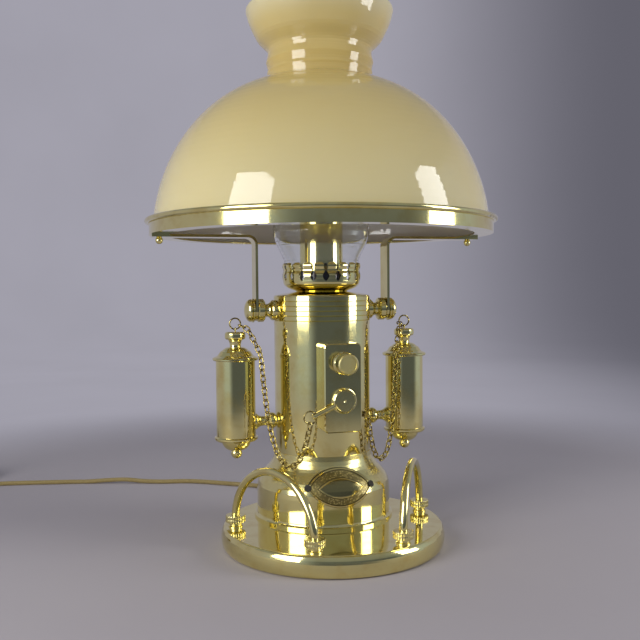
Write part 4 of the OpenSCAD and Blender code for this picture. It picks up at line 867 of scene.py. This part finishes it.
# %% Floor
sweep_outline = [(0, 0), (1.0, 0), (1.9, 0), (2.15, 0.03), (2.32, 0.12), (2.42, 0.3), (2.46, 0.6), (2.46, 1.7)]
sweep = spun("sweep", sweep_outline, (0, 0, 0), (0, 0, 1), 96)
sweep_bottom = min(sweep.data.polygons, key=lambda face: face.center.length)
if sweep_bottom.normal.z < 0:
    sweep.data.flip_normals()
print("sweep faces:", len(sweep.data.polygons))

# %% [markdown]
# ## Tone of the backdrop
# Lamps strong enough to make the far wall pale would burn out the shade. So the wall is given its
# tone as a soft glow instead, which only the camera, mirrors and glass see, and which lights
# nothing. The glowing sheet is pale mauve-grey, with painted shade that darkens it towards its right
# end. The brass mirrors more than the sheet: a painted reflection of the photographer's dim room in
# front of the lamp, with pale light on both sides of it. The camera never looks that way from the
# front, so only mirrors are shown this painted room.

# %% Backdrop finish
TO_THE_ROOM = Vector((0.12, -0.99))


def backdrop_paper(name):
    """Matt paper by the lamp, and for camera, mirrors and glass a glow with the far wall's tone, painted shade
    to its right and a painted reflection of a room.
    """
    finish = Finish(name)
    where, x, y, z = finish.place()
    cloud = finish.noise(where, 3, 3)
    fibre = finish.noise(where, 700, 2)
    paper = finish.add("BsdfPrincipled", {}, {
        "Base Color": finish.mix(cloud, colour(190, 184, 187), colour(176, 169, 174)),
        "Roughness": 0.85,
        "Normal": finish.bump(fibre * 15e-6),
    })
    reach = maths("SQRT", x * x + y * y)
    roomward = (x * TO_THE_ROOM.x + y * TO_THE_ROOM.y) / reach
    rightward = x * 0.96 - y * 0.27
    pale = finish.mix(cloud, colour(165, 163, 175), colour(157, 155, 166))
    # Painted shade: the glowing sheet darkens towards its right end.
    sheet_glow_with_painted_shade = finish.mix(finish.ramp(rightward, 0.1, 1.1), pale, colour(100, 99, 109))
    # Painted reflection of a room in front of the lamp, for mirrors only, with pale windows at its sides.
    painted_window_share = finish.ramp(roomward, -0.2, 0.3) * finish.ramp(reach, 0.7, 1.2)
    painted_room_share = finish.ramp(roomward, 0.5, 0.86) * finish.ramp(reach, 0.42, 0.9)
    painted_dim_room = finish.mix(finish.ramp(z, 0.15, 1.0), colour(84, 91, 108), colour(132, 138, 152))
    room = finish.mix(painted_window_share, pale, colour(166, 178, 204))
    room = finish.mix(painted_room_share, room, painted_dim_room)
    eye, mirror, glass = finish.add(
        "LightPath", output=("Is Camera Ray", "Is Glossy Ray", "Is Transmission Ray")
    )
    glow = finish.add("Emission", {}, {"Color": finish.mix(mirror, sheet_glow_with_painted_shade, room), "Strength": 1})
    seen = maths("MINIMUM", eye + mirror + glass, 1) * finish.ramp(reach, 0.45, 0.85)
    finish.add_output(finish.add("MixShader", {}, {0: seen, 1: paper, 2: glow}))
    return finish.material


sweep.data.materials.append(backdrop_paper("backdrop_paper"))
print("backdrop:", sweep.data.materials[0].name)

# %% [markdown]
# ## Lamps
# The white bars on the column and the two white windows on the shade show where the photographer's
# two tall softboxes stood: left and right of the camera, from just above the table up to a metre.

# %% Softboxes and room
def softbox(name, azimuth, distance, height, size, power, tint):
    """A rectangular lamp round the lamp's front, which looks at the middle of the object."""
    lamp_data = bpy.data.lights.new(name, "AREA")
    lamp_data.shape = "RECTANGLE"
    lamp_data.size, lamp_data.size_y = size
    lamp_data.energy = power
    lamp_data.color = tint
    lamp = link(bpy.data.objects.new(name, lamp_data))
    angle = radians(azimuth)
    lamp.location = (distance * sin(angle), -distance * cos(angle), height)
    aim = Vector((0, 0, height)) - lamp.location
    lamp.rotation_euler = aim.to_track_quat("-Z", "Y").to_euler()
    lamp.visible_camera = False
    return lamp


softbox("softbox_left", -60, 1.15, 0.58, (0.58, 0.87), 10.5, (1, 0.99, 0.97))
softbox("softbox_right", 61.5, 1.15, 0.57, (0.41, 0.85), 7, (1, 0.99, 0.97))

room = bpy.data.worlds.new("room")
room.use_nodes = True
scene.world = room
room.node_tree.nodes["Background"].inputs["Color"].default_value = colour(188, 194, 210)
room.node_tree.nodes["Background"].inputs["Strength"].default_value = 0.5
